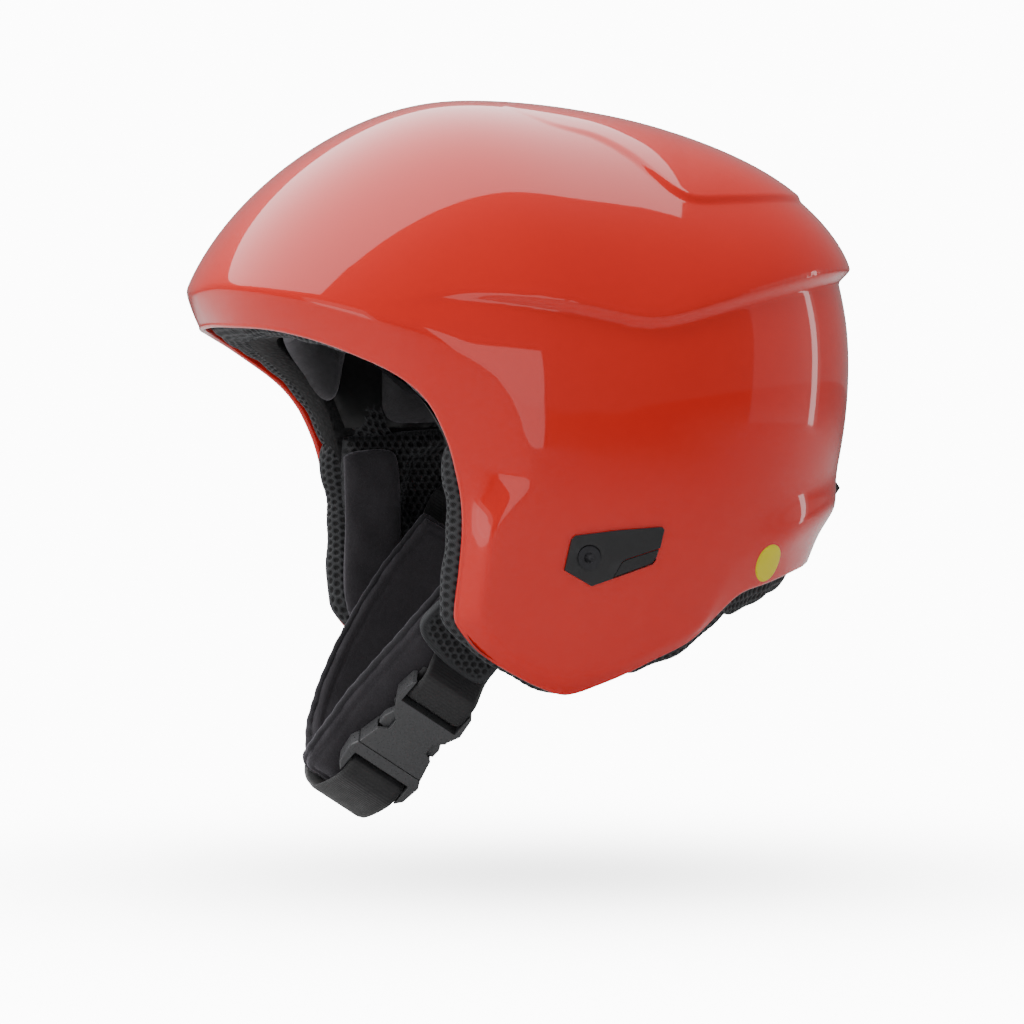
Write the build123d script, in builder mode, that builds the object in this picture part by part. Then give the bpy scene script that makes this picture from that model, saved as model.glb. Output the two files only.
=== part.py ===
from build123d import *
import math
import os
import numpy as np

# Alpine race helmet. Millimetres, +Z up, the face toward -Y, the wearer's left
# toward +X, origin at the centre of the head cavity on the midplane.

# ---- driving dimensions -------------------------------------------------
HALF_WIDTH = 112.0          # outer shell half width at the widest point
SUPER_P = 2.25              # superellipse exponent of the cross sections
# outer mid-profile radius against the side-view angle (0 front, 90 crown, 180 back)
OUTER_DEG = [0, 18, 35, 52, 70, 90, 110, 130, 150, 168, 185, 205, 235, 270, 300, 325, 345]
OUTER_RAD = [147.1, 144.6, 139.4, 133.6, 128.2, 121.8, 124.2, 133.5, 143.8, 138.6, 134.6,
             136.5, 165.0, 200.0, 185.0, 165.0, 149.0]
# raised upper dome: a little inside the base in front, proud at the back
DOME_HALF_WIDTH = 112.6
DOME_RAD = [138.0, 141.5, 138.0, 132.6, 127.6, 121.9, 124.9, 134.8, 147.3, 151.5, 148.0,
            140.0, 160.0, 195.0, 180.0, 160.0, 142.0]
# head cavity in the foam
CAVITY_HALF_WIDTH = 84.0
CAVITY_DEG = [0, 20, 45, 70, 90, 115, 140, 165, 190, 205, 220, 240, 270, 300, 330, 345]
CAVITY_RAD = [106.0, 104.0, 101.0, 98.0, 96.0, 98.5, 103.5, 105.5, 106.5, 112.0, 128.0,
              220.0, 400.0, 300.0, 180.0, 130.0]
SHELL_T = 2.5               # shell wall
FOAM_GAP = 0.4              # bond line between shell and foam
BEVEL_SIDE, BEVEL_EDGE = 9.0, 4.5   # band round the rim: along the side, across the edge
SLIP_GAP, SLIP_T = 2.0, 0.8         # low-friction liner clearance and thickness
PAD_T = 6.0                 # comfort pads on the liner
STRAP_AXIS = (0.0, 2.5, -36.4)      # chin strap pivots, on an X-parallel line
STRAP_RAKE = 33.0           # forward rake of the strap loop from straight down
WEB_W, WEB_T = 25.0, 1.5    # webbing
COVER_T = 1.2               # side cover plate, proud of the shell
SCREW_YZ = (-7.2, -63.0)

# rim line in side view (Y, Z): face opening, then the lower edge
RIM_FACE = [(-150, 32.5), (-139.5, 32.5), (-128.8, 30.6), (-113.5, 25.4), (-97.0, 17.9),
            (-79.0, 8.0), (-70.0, -1.0), (-64.5, -12.0), (-59.8, -26.0), (-56.5, -40.0),
            (-55.6, -52.0), (-56.5, -70.0), (-57.1, -84.0)]
RIM_LOW = [(-55.6, -91.5), (-47.1, -101.0), (-30, -111.3), (-14, -117.6), (-8.0, -117.8),
           (23.3, -104.9), (42.3, -96.0), (50.5, -88.5), (60.6, -79.6), (76.7, -74.2),
           (99, -68.5), (125, -66), (165, -66)]
# underside of the ledge that runs back to the spoiler, side view
LEDGE = [(-64, 37.5), (-50, 38.5), (-35.7, 37.2), (-12.6, 32.6), (3.3, 29.6), (14.9, 27.8),
         (21.3, 27.8), (30.3, 29.4), (47.8, 34.3), (70.1, 39.2), (93.8, 43.2), (124.2, 46.5),
         (165, 48.0)]

os.makedirs("parts", exist_ok=True)


# ---- the analytic surface --------------------------------------------------
def periodic_spline(deg, val):
    n = len(deg)
    h = [((deg[(i + 1) % n] - deg[i]) % 360) for i in range(n)]
    m, r = np.zeros((n, n)), np.zeros(n)
    for i in range(n):
        a, b = (i - 1) % n, (i + 1) % n
        m[i, a] += h[a]
        m[i, i] += 2 * (h[a] + h[i])
        m[i, b] += h[i]
        r[i] = 6 * ((val[b] - val[i]) / h[i] - (val[i] - val[a]) / h[a])
    c = np.linalg.solve(m, r)

    def at(w):
        w = w % 360
        i = max(k for k in range(n) if deg[k] <= w)
        b, t, hh = (i + 1) % n, w - deg[i], h[i]
        p, q = (hh - t) / hh, t / hh
        return p * val[i] + q * val[b] + ((p**3 - p) * c[i] + (q**3 - q) * c[b]) * hh * hh / 6

    return at


OUTER = (HALF_WIDTH, periodic_spline(OUTER_DEG, OUTER_RAD))
DOME = (DOME_HALF_WIDTH, periodic_spline(OUTER_DEG, DOME_RAD))
CAVITY = (CAVITY_HALF_WIDTH, periodic_spline(CAVITY_DEG, CAVITY_RAD))


def inside(surface, x, y, z, d):
    half, radius = surface
    rho, w = math.hypot(y, z), math.degrees(math.atan2(z, -y))
    return (abs(x) / (half - d)) ** SUPER_P + (rho / (radius(w) - d)) ** SUPER_P < 1


def section(surface, z, d, count):
    ys = [y for y in np.linspace(-190, 190, 381) if inside(surface, 0, y, z, d)]
    yc, pts = (ys[0] + ys[-1]) / 2, []
    for k in range(count):
        a = 2 * math.pi * (k + 0.5) / count
        lo, hi = 0.0, 260.0
        for _ in range(44):
            mid = (lo + hi) / 2
            if inside(surface, mid * math.cos(a), yc + mid * math.sin(a), z, d):
                lo = mid
            else:
                hi = mid
        pts.append((lo * math.cos(a), yc + lo * math.sin(a)))
    return pts


made_before = {}


def envelope(surface, d=0.0, bottom=-128.0, rows=15, count=36):
    """Solid bounded by the surface moved inward by d, closed by a small crown cap."""
    key = (surface[0], surface[1](90), round(d, 4), bottom)
    if key in made_before:
        return made_before[key]
    top = max(z for z in np.linspace(80, 135, 1101)
              if any(inside(surface, 0, y, z, d) for y in range(-40, 41, 4)))
    with BuildPart() as made:
        for k in range(rows):
            s = math.sin(k / (rows - 1) * math.pi / 2 * 0.985) / math.sin(math.pi / 2 * 0.985)
            z = bottom + (top - 0.35 - bottom) * s
            with BuildSketch(Plane.XY.offset(z)):
                with BuildLine():
                    Spline(*section(surface, z, d, count), periodic=True)
                make_face()
        loft()
    made_before[key] = made.part
    return made.part


def shifted(points, inset):
    """Rim points moved into the material, away from the opening."""
    res = []
    for i, (y, z) in enumerate(points):
        a, b = points[max(0, i - 1)], points[min(len(points) - 1, i + 1)]
        ty, tz = b[0] - a[0], b[1] - a[1]
        k = math.hypot(ty, tz)
        res.append((y - inset * tz / k, z + inset * ty / k))
    return res


def side_prism(inset=0.0, x0=-140.0, x1=140.0):
    """Everything above and behind the rim line in side view, moved in by inset."""
    face = shifted(RIM_FACE, inset)
    low = shifted(RIM_LOW, inset)
    if inset > 1:
        low = [p for p in low if p[0] > face[-1][0] + 0.8 * inset or p[0] > -30]
    with BuildPart() as made:
        with BuildSketch(Plane.YZ.offset(x0)):
            with BuildLine():
                Spline(*face)
                Polyline(face[-1], low[0])
                Spline(*low)
                Polyline(low[-1], (170, 170), (face[0][0], 170), face[0])
            make_face()
        extrude(amount=x1 - x0)
    return made.part


def grow(poly, d):
    """Closed polygon moved outward by d with mitred corners."""
    area = sum(poly[i][0] * poly[(i + 1) % len(poly)][1] - poly[(i + 1) % len(poly)][0] * poly[i][1]
               for i in range(len(poly)))
    sg = 1.0 if area > 0 else -1.0
    res, n = [], len(poly)
    for i in range(n):
        p, a, b = poly[i], poly[i - 1], poly[(i + 1) % n]
        u = ((p[0] - a[0]), (p[1] - a[1]))
        v = ((b[0] - p[0]), (b[1] - p[1]))
        ku, kv = math.hypot(*u), math.hypot(*v)
        n1 = (sg * u[1] / ku, -sg * u[0] / ku)
        n2 = (sg * v[1] / kv, -sg * v[0] / kv)
        m = 1.0 + n1[0] * n2[0] + n1[1] * n2[1]
        res.append((p[0] + d * (n1[0] + n2[0]) / max(m, 0.4), p[1] + d * (n1[1] + n2[1]) / max(m, 0.4)))
    return res


def yz_prism(points, x0, x1, smooth=False, round_r=0.0):
    with BuildPart() as made:
        with BuildSketch(Plane.YZ.offset(x0)) as sk:
            with BuildLine():
                if smooth:
                    Spline(*points, periodic=True)
                else:
                    Polyline(*points, points[0])
            make_face()
            if round_r:
                fillet(sk.vertices(), round_r)
        extrude(amount=x1 - x0)
    return made.part


def cylinder_x(y, z, r, x0, x1):
    with BuildPart() as made:
        with BuildSketch(Plane.YZ.offset(x0)):
            with Locations((y, z)):
                Circle(r)
        extrude(amount=x1 - x0)
    return made.part


def combine(first, cut=(), keep=(), fuse=()):
    with BuildPart() as made:
        add(first)
        for k in keep:
            add(k, mode=Mode.INTERSECT)
        for k in fuse:
            add(k, mode=Mode.ADD)
        for k in cut:
            add(k, mode=Mode.SUBTRACT)
    return made.part


def bevelled(solid_part):
    """Bevel band along the rim of an envelope already cut by the rim prism."""
    solid = solid_part.solids()[0]
    side = sorted(solid.faces(), key=lambda f: -f.area)[0]
    edges = [e for e in side.edges() if (e @ 0.5).Z < 60 and abs((e @ 0.5).X) < 109]
    return Part() + solid.chamfer(BEVEL_SIDE, BEVEL_EDGE, edges, face=side)


written = {}


def save(name, shape):
    solids = [s for s in shape.solids() if s.volume > 0.5]
    with BuildPart() as out:
        for s in solids:
            add(s)
    out.part.label = name
    export_step(out.part, "parts/" + name + ".step")
    written[name] = out.part


def mirror_x(shape):
    return mirror(shape, about=Plane.YZ)


# ---- shell ----------------------------------------------------------------
keep_rim = side_prism()
hull = envelope(OUTER)
hull_cut = bevelled(combine(hull, keep=[keep_rim]))
hollow = bevelled(combine(envelope(OUTER, SHELL_T), keep=[keep_rim]))
foam_hull = bevelled(combine(envelope(OUTER, SHELL_T + FOAM_GAP), keep=[keep_rim]))
above_ledge = yz_prism(LEDGE + [(165, 165), (-64, 165)], -140, 140)
dome = combine(envelope(DOME, bottom=-20.0), keep=[above_ledge])

cover_outline = [(-16.9, -67.8), (-14.6, -55.7), (-13.0, -54.2), (4.5, -52.2), (23.1, -51.0),
                 (24.1, -52.1), (22.5, -60.0), (21.6, -63.3), (19.6, -65.8), (2.9, -71.3),
                 (-5.5, -74.1)]
insert_outline = [(3.3, -70.9), (6.6, -65.0), (8.3, -63.9), (22.4, -59.7), (21.3, -63.2),
                  (19.4, -65.5)]
insert_gap = grow(insert_outline, 0.3)
cover_ring = combine(envelope(OUTER, -COVER_T), keep=[yz_prism([(-30, -85), (35, -85), (35, -40), (-30, -40)], -130, 130)])
cover_floor = envelope(OUTER, 0.85)
recess_floor = envelope(OUTER, 0.90)
recess_prism = yz_prism(grow(cover_outline, 0.35), -140, 140)
recess = combine(recess_prism, cut=[recess_floor])
screw_hole = cylinder_x(*SCREW_YZ, 3.1, -140, 140)

outer_shell = combine(hull_cut, fuse=[dome], cut=[hollow, recess, screw_hole])
save("outer_shell", outer_shell)

# ---- side covers, inserts, screws, captive nuts -----------------------------
cover_body = combine(yz_prism(cover_outline, 60, 130), keep=[cover_ring],
                     cut=[cover_floor, yz_prism(insert_gap, 60, 130), screw_hole])
insert_body = combine(yz_prism(insert_outline, 60, 130),
                      keep=[envelope(OUTER, -COVER_T + 0.35)], cut=[cover_floor])
xs = 109.2
with BuildPart() as sink:
    with BuildSketch(Plane.YZ.offset(xs - 1.9)):
        with Locations(SCREW_YZ):
            Circle(3.1)
    with BuildSketch(Plane.YZ.offset(xs + 0.6)):
        with Locations(SCREW_YZ):
            Circle(5.2)
    loft()
cover_body = combine(cover_body, cut=[sink.part, cylinder_x(*SCREW_YZ, 5.2, xs + 0.6, 130)])
save("side_cover_left", cover_body)
save("side_cover_right", mirror_x(cover_body))
save("cover_insert_left", insert_body)
save("cover_insert_right", mirror_x(insert_body))
with BuildPart() as screw:
    with BuildSketch(Plane.YZ.offset(xs - 1.6)):
        with Locations(SCREW_YZ):
            Circle(2.9)
    with BuildSketch(Plane.YZ.offset(xs + 0.5)):
        with Locations(SCREW_YZ):
            Circle(4.7)
    loft()
    add(cylinder_x(*SCREW_YZ, 2.45, 93.0, xs - 1.5))
    add(cylinder_x(*SCREW_YZ, 2.2, xs - 1.3, 130), mode=Mode.SUBTRACT)
save("cover_screws", combine(screw.part, fuse=[mirror_x(screw.part)]))
nut = combine(cylinder_x(*SCREW_YZ, 8.0, 95.2, 97.2), fuse=[cylinder_x(*SCREW_YZ, 4.2, 91.0, 103.5)],
              cut=[cylinder_x(*SCREW_YZ, 2.5, 80, 120)])
save("cover_nuts", combine(nut, fuse=[mirror_x(nut)]))

# ---- foam liner ---------------------------------------------------------------
cavity = envelope(CAVITY, 0.0, bottom=-135.0)
ax, ay, az = STRAP_AXIS
foam_cuts = [cavity,
             cylinder_x(*SCREW_YZ, 8.4, 88.0, 140), cylinder_x(*SCREW_YZ, 8.4, -140, -88.0),
             cylinder_x(ay, az, 16.5, -86.5, 86.5)]
foam = combine(foam_hull, keep=[side_prism(6.0)], cut=foam_cuts)
save("eps_liner", foam)

# soft strip under the foam round the brow and temples
edge_hull = bevelled(combine(envelope(OUTER, SHELL_T + 0.9), keep=[keep_rim]))
brow = combine(edge_hull, keep=[side_prism(1.2), yz_prism([(-160, -12), (60, -12), (60, 80), (-160, 80)], -140, 140)],
               cut=[side_prism(5.7), envelope(CAVITY, 0.3, bottom=-135.0)])
save("brow_liner", brow)

# ---- ear pads: mesh surround with an open pocket over the ear -------------------
pad_space = envelope(CAVITY, 0.4, bottom=-135.0)
ear_shape = [(-52.5, -16), (-50.5, -60), (-51.5, -88), (-46, -98.5), (-30, -108.5), (-10, -116.5),
             (10, -108), (36, -96.5), (45, -87), (50, -72), (50, -30), (42, -16)]
pocket = [(-26, -44), (-22, -24), (-9, -19.5), (20, -19.5), (36, -26), (40, -42), (36, -62),
          (20, -74), (2, -72), (-14, -64)]
EAR_IN = 74.5
ear_slab = combine(yz_prism(ear_shape, EAR_IN, 90), keep=[pad_space], cut=[yz_prism(pocket, 50, 100)])
front_shape = [(-56.3, -14), (-52.4, -14), (-50.6, -40), (-50.0, -60), (-51.2, -88.5), (-46, -99),
               (-30, -109), (-10, -113), (23.3, -99.6), (42.3, -90.6), (49.8, -83.4), (49.8, -93.5),
               (42, -101.5), (23, -109.5), (5, -117), (-10, -120.0), (-30, -113.6), (-48.6, -103.4),
               (-57.5, -93), (-58.0, -86), (-57.2, -70), (-56.4, -54), (-57.4, -40), (-60.5, -28),
               (-64.0, -14)]
front_hull = combine(envelope(OUTER, 8.3), keep=[yz_prism([(-80, -10), (-80, -127), (80, -127), (80, -10)], EAR_IN, 130)])
foam_reach = combine(side_prism(5.7), cut=[pad_space])
ear_front = combine(yz_prism(front_shape, EAR_IN, 105), keep=[front_hull], cut=[foam_reach])
ear_pad = combine(ear_slab, fuse=[ear_front])
ear_pad = max(ear_pad.solids(), key=lambda s: s.volume)
save("ear_pad_left", Part() + ear_pad)
save("ear_pad_right", mirror_x(Part() + ear_pad))
with BuildPart() as cushion:
    with BuildSketch(Plane.YZ.offset(71.5)) as sk:
        with BuildLine():
            Polyline((-54.5, -24), (-33, -22), (-33, -90), (-41, -97), (-51.5, -94), (-54, -80), (-53.4, -50), (-54.5, -24))
        make_face()
        fillet(sk.vertices(), 4)
    extrude(amount=2.8)
    fillet(cushion.faces().sort_by(Axis.X)[0].edges(), 1.8)
save("ear_cushion_left", cushion.part)
save("ear_cushion_right", mirror_x(cushion.part))

# ---- neck roll -------------------------------------------------------------------
roll_low = [(50.5, -96.5), (60.6, -87.5), (70.0, -83.5), (80.0, -80.0), (92.0, -74.5), (106.0, -69.5), (135.0, -67.5)]
roll_high = [(135.0, -60.8), (99.0, -63.3), (76.7, -69.0), (62.6, -74.2), (50.5, -83.4)]
roll_band = yz_prism(roll_low + roll_high, -140, 140)
neck = combine(roll_band, keep=[envelope(OUTER, 7.4, bottom=-128.0)],
               cut=[envelope(CAVITY, 9.0, bottom=-135.0)])
save("neck_roll", neck)

# ---- slip liner and comfort pads (turn together inside the foam) -------------------
slip_zone = yz_prism([(-130, 47), (-108, 40), (-90, 30), (-73, 16), (-61, 2), (-54, -11), (150, -11),
                      (150, 140), (-130, 140)], -140, 140)
slots = [yz_prism([(y - 4, z), (y, z - 9), (y + 4, z), (y, z + 9)], -140, 140)
         for y, z in ((-52, 38), (-18, 52), (18, 52), (52, 34))]
slip = combine(envelope(CAVITY, SLIP_GAP), keep=[slip_zone],
               cut=[envelope(CAVITY, SLIP_GAP + SLIP_T)] + slots)
save("slip_liner", slip)
pad_out = envelope(CAVITY, SLIP_GAP + SLIP_T + 0.05)
pad_in = envelope(CAVITY, SLIP_GAP + SLIP_T + PAD_T)


def comfort(prisms, cuts=()):
    return combine(pad_out, keep=[slip_zone] + list(prisms), cut=[pad_in] + list(cuts))


def box(x0, x1, y0, y1, z0, z1):
    with BuildPart() as made:
        with Locations(((x0 + x1) / 2, (y0 + y1) / 2, (z0 + z1) / 2)):
            Box(x1 - x0, y1 - y0, z1 - z0)
    return made.part


save("brow_pad", comfort([box(-66, 66, -130, -52, 20, 62)]))
save("crown_pad", comfort([box(-26, 26, -48, 52, 60, 120)]))
save("side_pads", comfort([box(-110, 110, -44, 46, 0, 46)], [box(-56, 56, -80, 80, -40, 140)]))
save("rear_pad", comfort([box(-52, 52, 52, 130, -30, 34)]))
with BuildPart() as tethers:
    for sx in (-1, 1):
        for y, z in ((-62, 66), (66, 62)):
            d = Vector(sx * 26, y, z).normalized()
            w = math.degrees(math.atan2(z, -y))
            rad = CAVITY[1](w) * 0.955
            base = d * (rad - 9)
            with BuildSketch(Plane(origin=base, z_dir=d)):
                Circle(3.0)
            extrude(amount=16)
    add(envelope(CAVITY, 0.7), mode=Mode.INTERSECT)
    add(envelope(CAVITY, SLIP_GAP - 0.25), mode=Mode.SUBTRACT)
save("slip_tethers", tethers.part)

# ---- strap hardware on the foam -----------------------------------------------------
def both(shape):
    return combine(shape, fuse=[mirror_x(shape)])


plate = combine(cylinder_x(ay, az, 14.0, 84.2, 86.0), cut=[cylinder_x(ay, az, 4.1, 60, 100)])
save("strap_anchor_plates", both(plate))
rivet = combine(cylinder_x(ay, az, 5.6, 74.6, 76.4),
                fuse=[cylinder_x(ay, az, 3.8, 76.4, 86.4)], cut=[cylinder_x(ay, az, 1.6, 70, 90)])
save("strap_rivets", both(rivet))

# ---- chin strap loop, drawn flat in its own raked plane: x across, t along the strap -----
rk = math.radians(STRAP_RAKE)
along = Vector(0, -math.sin(rk), -math.cos(rk))
across = Vector(0, math.cos(rk), -math.sin(rk))
AXIS_PT = Vector(*STRAP_AXIS)


def loop_plane(w0):
    return Plane(origin=AXIS_PT + across * w0, x_dir=(1, 0, 0), z_dir=(across.X, across.Y, across.Z))


def resample(points, count=26):
    with BuildLine() as ln:
        Spline(*points)
    e = ln.edges()[0]
    pos = [e @ (i / (count - 1)) for i in range(count)]
    tan = [e % (i / (count - 1)) for i in range(count)]
    return [(p.X, p.Y) for p in pos], [(t.X, t.Y) for t in tan]


def ribbon(points, lo, hi, w0, w1, count=26):
    """Band following points, from lo to hi on the right-hand side of travel."""
    pos, tan = resample(points, count)
    a = [(p[0] + lo * t[1], p[1] - lo * t[0]) for p, t in zip(pos, tan)]
    b = [(p[0] + hi * t[1], p[1] - hi * t[0]) for p, t in zip(pos, tan)]
    with BuildPart() as made:
        with BuildSketch(loop_plane(w0)):
            with BuildLine():
                Spline(*a)
                Polyline(a[-1], b[-1])
                Spline(*b[::-1])
                Polyline(b[0], a[0])
            make_face()
        extrude(amount=w1 - w0)
    return made.part


def loop_prism(points, x0=-120, x1=120):
    """Outline given as (t, w), cut through the loop along X."""
    pl = Plane(origin=AXIS_PT + Vector(x0, 0, 0), x_dir=(across.X, across.Y, across.Z), z_dir=(1, 0, 0))
    with BuildPart() as made:
        with BuildSketch(pl) as sk:
            with BuildLine():
                q = [(w, -t) for t, w in points]
                Polyline(*q, q[0])
            make_face()
            fillet(sk.vertices(), 3.0)
        extrude(amount=x1 - x0)
    return made.part


# skin line of the pads (their outer face); travel downward keeps the outside on one side
near_skin = [(66.2, 26), (65.6, 50), (61.4, 72), (50.6, 95.0), (36.0, 117.0), (25.0, 133.0), (14.5, 143.0), (3.0, 148.0)]
far_skin = [(-66.2, 28), (-65.6, 50), (-61.6, 75), (-55.0, 97), (-44.5, 117), (-33.5, 131), (-21.0, 141.5)]
# buckle frame: u runs down the strap, n outward
TOP = (56.0, 99.0)
BU = (-0.5504, 0.8349)
BN = (0.8349, 0.5504)


def bk(u, n):
    return (TOP[0] + u * BU[0] + n * BN[0], TOP[1] + u * BU[1] + n * BN[1])


def buckle_box(u0, u1, n0, n1, w0, w1):
    with BuildPart() as made:
        with BuildSketch(loop_plane(w0)):
            with BuildLine():
                Polyline(bk(u0, n0), bk(u1, n0), bk(u1, n1), bk(u0, n1), bk(u0, n0))
            make_face()
        extrude(amount=w1 - w0)
    return made.part


def buckle_plate(points, n0, n1):
    """Outline in (u, w) on the buckle's flat, extruded through its thickness."""
    o = bk(0, n0)
    origin = AXIS_PT + Vector(o[0], 0, 0) + along * o[1]
    n3 = Vector(BN[0], 0, 0) + along * BN[1]
    u3 = Vector(BU[0], 0, 0) + along * BU[1]
    pl = Plane(origin=origin, x_dir=(u3.X, u3.Y, u3.Z), z_dir=(n3.X, n3.Y, n3.Z))
    sign = 1.0 if (pl.y_dir - across).length < 0.01 else -1.0
    with BuildPart() as made:
        with BuildSketch(pl) as sk:
            with BuildLine():
                q = [(u, sign * w) for u, w in points]
                Polyline(*q, q[0])
            make_face()
        extrude(amount=n1 - n0)
    return made.part


tab = combine(cylinder_x(ay, az, 11.0, 78.6, 80.6),
              fuse=[loop_prism([(0, -11), (22, -11), (22, 11), (0, 11)], 78.6, 80.6)],
              cut=[cylinder_x(ay, az, 4.2, 60, 100)])
save("strap_tabs", both(tab))
def beside(points, d, t0, t1, count):
    """Points of the same curve moved d outward, between two strap positions."""
    pos, tan = resample(points, 120)
    rows = [(p[0] + d * t[1], p[1] - d * t[0]) for p, t in zip(pos, tan) if t0 <= p[1] <= t1]
    return [rows[round(i * (len(rows) - 1) / (count - 1))] for i in range(count)]


WEB_OFF = 1.15
near_web_pts = [(77.4, 8.5), (75.9, 15.0), (71.6, 23.5)] + beside(near_skin, WEB_OFF, 33, 84, 5) + [bk(-6, 4.0), bk(0.5, 4.0)]
loop_in = [bk(0.5, 4.0), bk(4.6, 3.2), bk(6.4, 0.0), bk(4.6, -3.2), bk(0.5, -4.0), bk(-5, -4.3)]
web_left = combine(ribbon(near_web_pts, -WEB_T / 2, WEB_T / 2, -WEB_W / 2, WEB_W / 2, 34),
                   fuse=[ribbon(loop_in, -WEB_T / 2, WEB_T / 2, -WEB_W / 2, WEB_W / 2, 22)])
save("strap_webbing_left", web_left)
far_web_pts = [(-77.4, 8.5), (-75.9, 15.0), (-71.6, 23.5)] + beside(far_skin, -WEB_OFF, 34, 139.5, 9)
save("strap_webbing_right", ribbon(far_web_pts, -WEB_T / 2, WEB_T / 2, -WEB_W / 2, WEB_W / 2, 34))
chin_web_pts = [(-22.8, 143.2), (-15.0, 147.2), (-3.0, 150.6), (9.0, 151.6), bk(51.5, 3.9), bk(47.0, 4.6),
                bk(43.4, 3.5), bk(42.0, 0.2), bk(43.4, -3.6), bk(48.5, -4.9)]
save("strap_webbing_chin", ribbon(chin_web_pts, -WEB_T / 2, WEB_T / 2, -WEB_W / 2, WEB_W / 2, 40))
web_room = ribbon(near_web_pts, -WEB_T / 2 - 0.25, WEB_T / 2 + 0.25, -WEB_W / 2 - 0.3, WEB_W / 2 + 0.3, 34)
pad_near = combine(ribbon(near_skin, -6.5, -0.2, -28, 14, 26),
                   keep=[loop_prism([(22, -17), (60, -24), (95, -26.5), (125, -26), (150, -19), (156, -10), (156, 9), (140, 12.5), (100, 12.5), (60, 11), (22, 9)])],
                   cut=[web_room])
pad_near = max(pad_near.solids(), key=lambda q: q.volume)
save("chin_pad_left", Part() + pad_near)
pad_far = combine(ribbon(far_skin, 0.2, 7.0, -24, 18, 26),
                  keep=[loop_prism([(24, -14), (60, -18), (110, -18.5), (140, -15), (148, -11), (148, 10), (130, 14), (60, 14), (24, 11)])])
save("chin_pad_right", pad_far)
patch = combine(ribbon(beside(near_skin, 0.0, 30, 86, 8), 2.2, 4.0, -26, 13, 20),
                keep=[loop_prism([(26, -14), (60, -22), (82, -24.5), (90, -16), (94, 10), (60, 10.5), (26, 8)])],
                cut=[buckle_box(-8.0, 20, 0, 12, -40, 40), web_room])
patch = max(patch.solids(), key=lambda q: q.volume)
save("strap_mesh_patch", Part() + patch)

# ---- side-release buckle ---------------------------------------------------------------
F_END = 34.0
f_body = buckle_plate([(-2, -13), (-1, -14.6), (8, -15.6), (13, -13.2), (20, -12.2), (27, -13.6), (F_END, -15.2),
                       (F_END, 15.2), (27, 13.6), (20, 12.2), (13, 13.2), (8, 15.6), (-1, 14.6), (-2, 13)], -4.9, 4.9)
female = combine(f_body, cut=[
    buckle_box(-3, 1.0, -10, 10, -13.2, 13.2),
    buckle_box(4.0, 8.4, -10, 10, -13.2, 13.2),
    buckle_box(-3, 8.4, 2.6, 10, -13.2, 13.2),
    buckle_box(-3, 8.4, -10, -2.6, -13.2, 13.2),
    buckle_box(10.6, F_END + 1, -3.1, 3.1, -12.6, 12.6),
    buckle_box(12.0, 25.0, -3.1, 3.1, -20, 20),
    buckle_plate([(13.5, -13.9), (17.5, -9.2), (22.5, -9.2), (25.0, -13.9)], -10, 10),
    buckle_plate([(13.5, 13.9), (17.5, 9.2), (22.5, 9.2), (25.0, 13.9)], -10, 10)])
save("buckle_female", female)
base_shape = [(F_END + 0.5, -15.4), (38, -17.0), (47, -15.8), (51.5, -12.0), (51.5, 12.0), (47, 15.8), (38, 17.0), (F_END + 0.5, 15.4)]
male = combine(buckle_plate(base_shape, -4.6, 4.6),
               fuse=[buckle_box(14.0, 37.0, -2.4, 2.4, -3.2, 3.2)],
               cut=[buckle_box(39.6, 43.6, -10, 10, -13.2, 13.2),
                    buckle_box(43.5, 60, 2.4, 10, -13.2, 13.2),
                    buckle_box(43.5, 60, -10, -2.4, -13.2, 13.2),
                    buckle_box(47.4, 60, -10, 10, -13.2, 13.2)])
save("buckle_male", male)
prong_shape = [(F_END + 0.35, 7.0), (22, 6.6), (14.5, 7.2), (13.2, 9.0), (14.2, 11.4), (19.5, 13.6), (23.6, 13.4), (24.0, 10.6), (27, 10.0), (F_END + 0.35, 11.6)]
prong_r = buckle_plate(prong_shape, -2.4, 2.4)
prong_f = buckle_plate([(u, -w) for u, w in prong_shape], -2.4, 2.4)
save("prong_rear", prong_r)
save("prong_front", prong_f)

# ---- goggle strap retainer on the back ----------------------------------------------------
RET_AXIS = (134.8, -36.5)


def wall_y(z, d=0.0):
    lo, hi = 60.0, 190.0
    for _ in range(44):
        mid = (lo + hi) / 2
        if inside(OUTER, 0, mid, z, d):
            lo = mid
        else:
            hi = mid
    return lo


base_plate = combine(box(-14, 14, 110, 131.9, -43, -30), cut=[envelope(OUTER, -0.05, bottom=-128.0)])
with BuildPart() as retainer_base:
    add(base_plate)
    for sx in (-12.4, 12.4):
        with BuildSketch(Plane.YZ.offset(sx - 1.2)) as sk:
            with BuildLine():
                Polyline((129.0, -41), (134.6, -39.8), (137.0, -36.5), (134.6, -33.2), (129.0, -32), (129.0, -41))
            make_face()
        extrude(amount=2.4)
    add(cylinder_x(*RET_AXIS, 1.1, -12.6, 12.6))
    add(envelope(OUTER, -0.05, bottom=-128.0), mode=Mode.SUBTRACT)
save("retainer_base", retainer_base.part)
zs = [-31.5, -18, -4, 10, 22, 30, 36.5]
outer_line = [(wall_y(z) + 4.3 + (0.5 if z > 0 else 0.0), z) for z in zs]
inner_line = [(wall_y(z) + 1.9 + (0.3 if z > 0 else 0.0), z) for z in zs]
with BuildPart() as ret:
    with BuildSketch(Plane.YZ.offset(-10.5)):
        with BuildLine():
            Spline(*inner_line)
            Polyline(inner_line[-1], outer_line[-1])
            Spline(*outer_line[::-1])
            Polyline(outer_line[0], (136.9, -35.4), (134.8, -34.3), inner_line[0])
        make_face()
    extrude(amount=21)
    add(cylinder_x(*RET_AXIS, 2.5, -10.5, 10.5))
    add(cylinder_x(*RET_AXIS, 1.3, -12, 12), mode=Mode.SUBTRACT)
stud_z = 27.5
sy = wall_y(stud_z)
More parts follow.
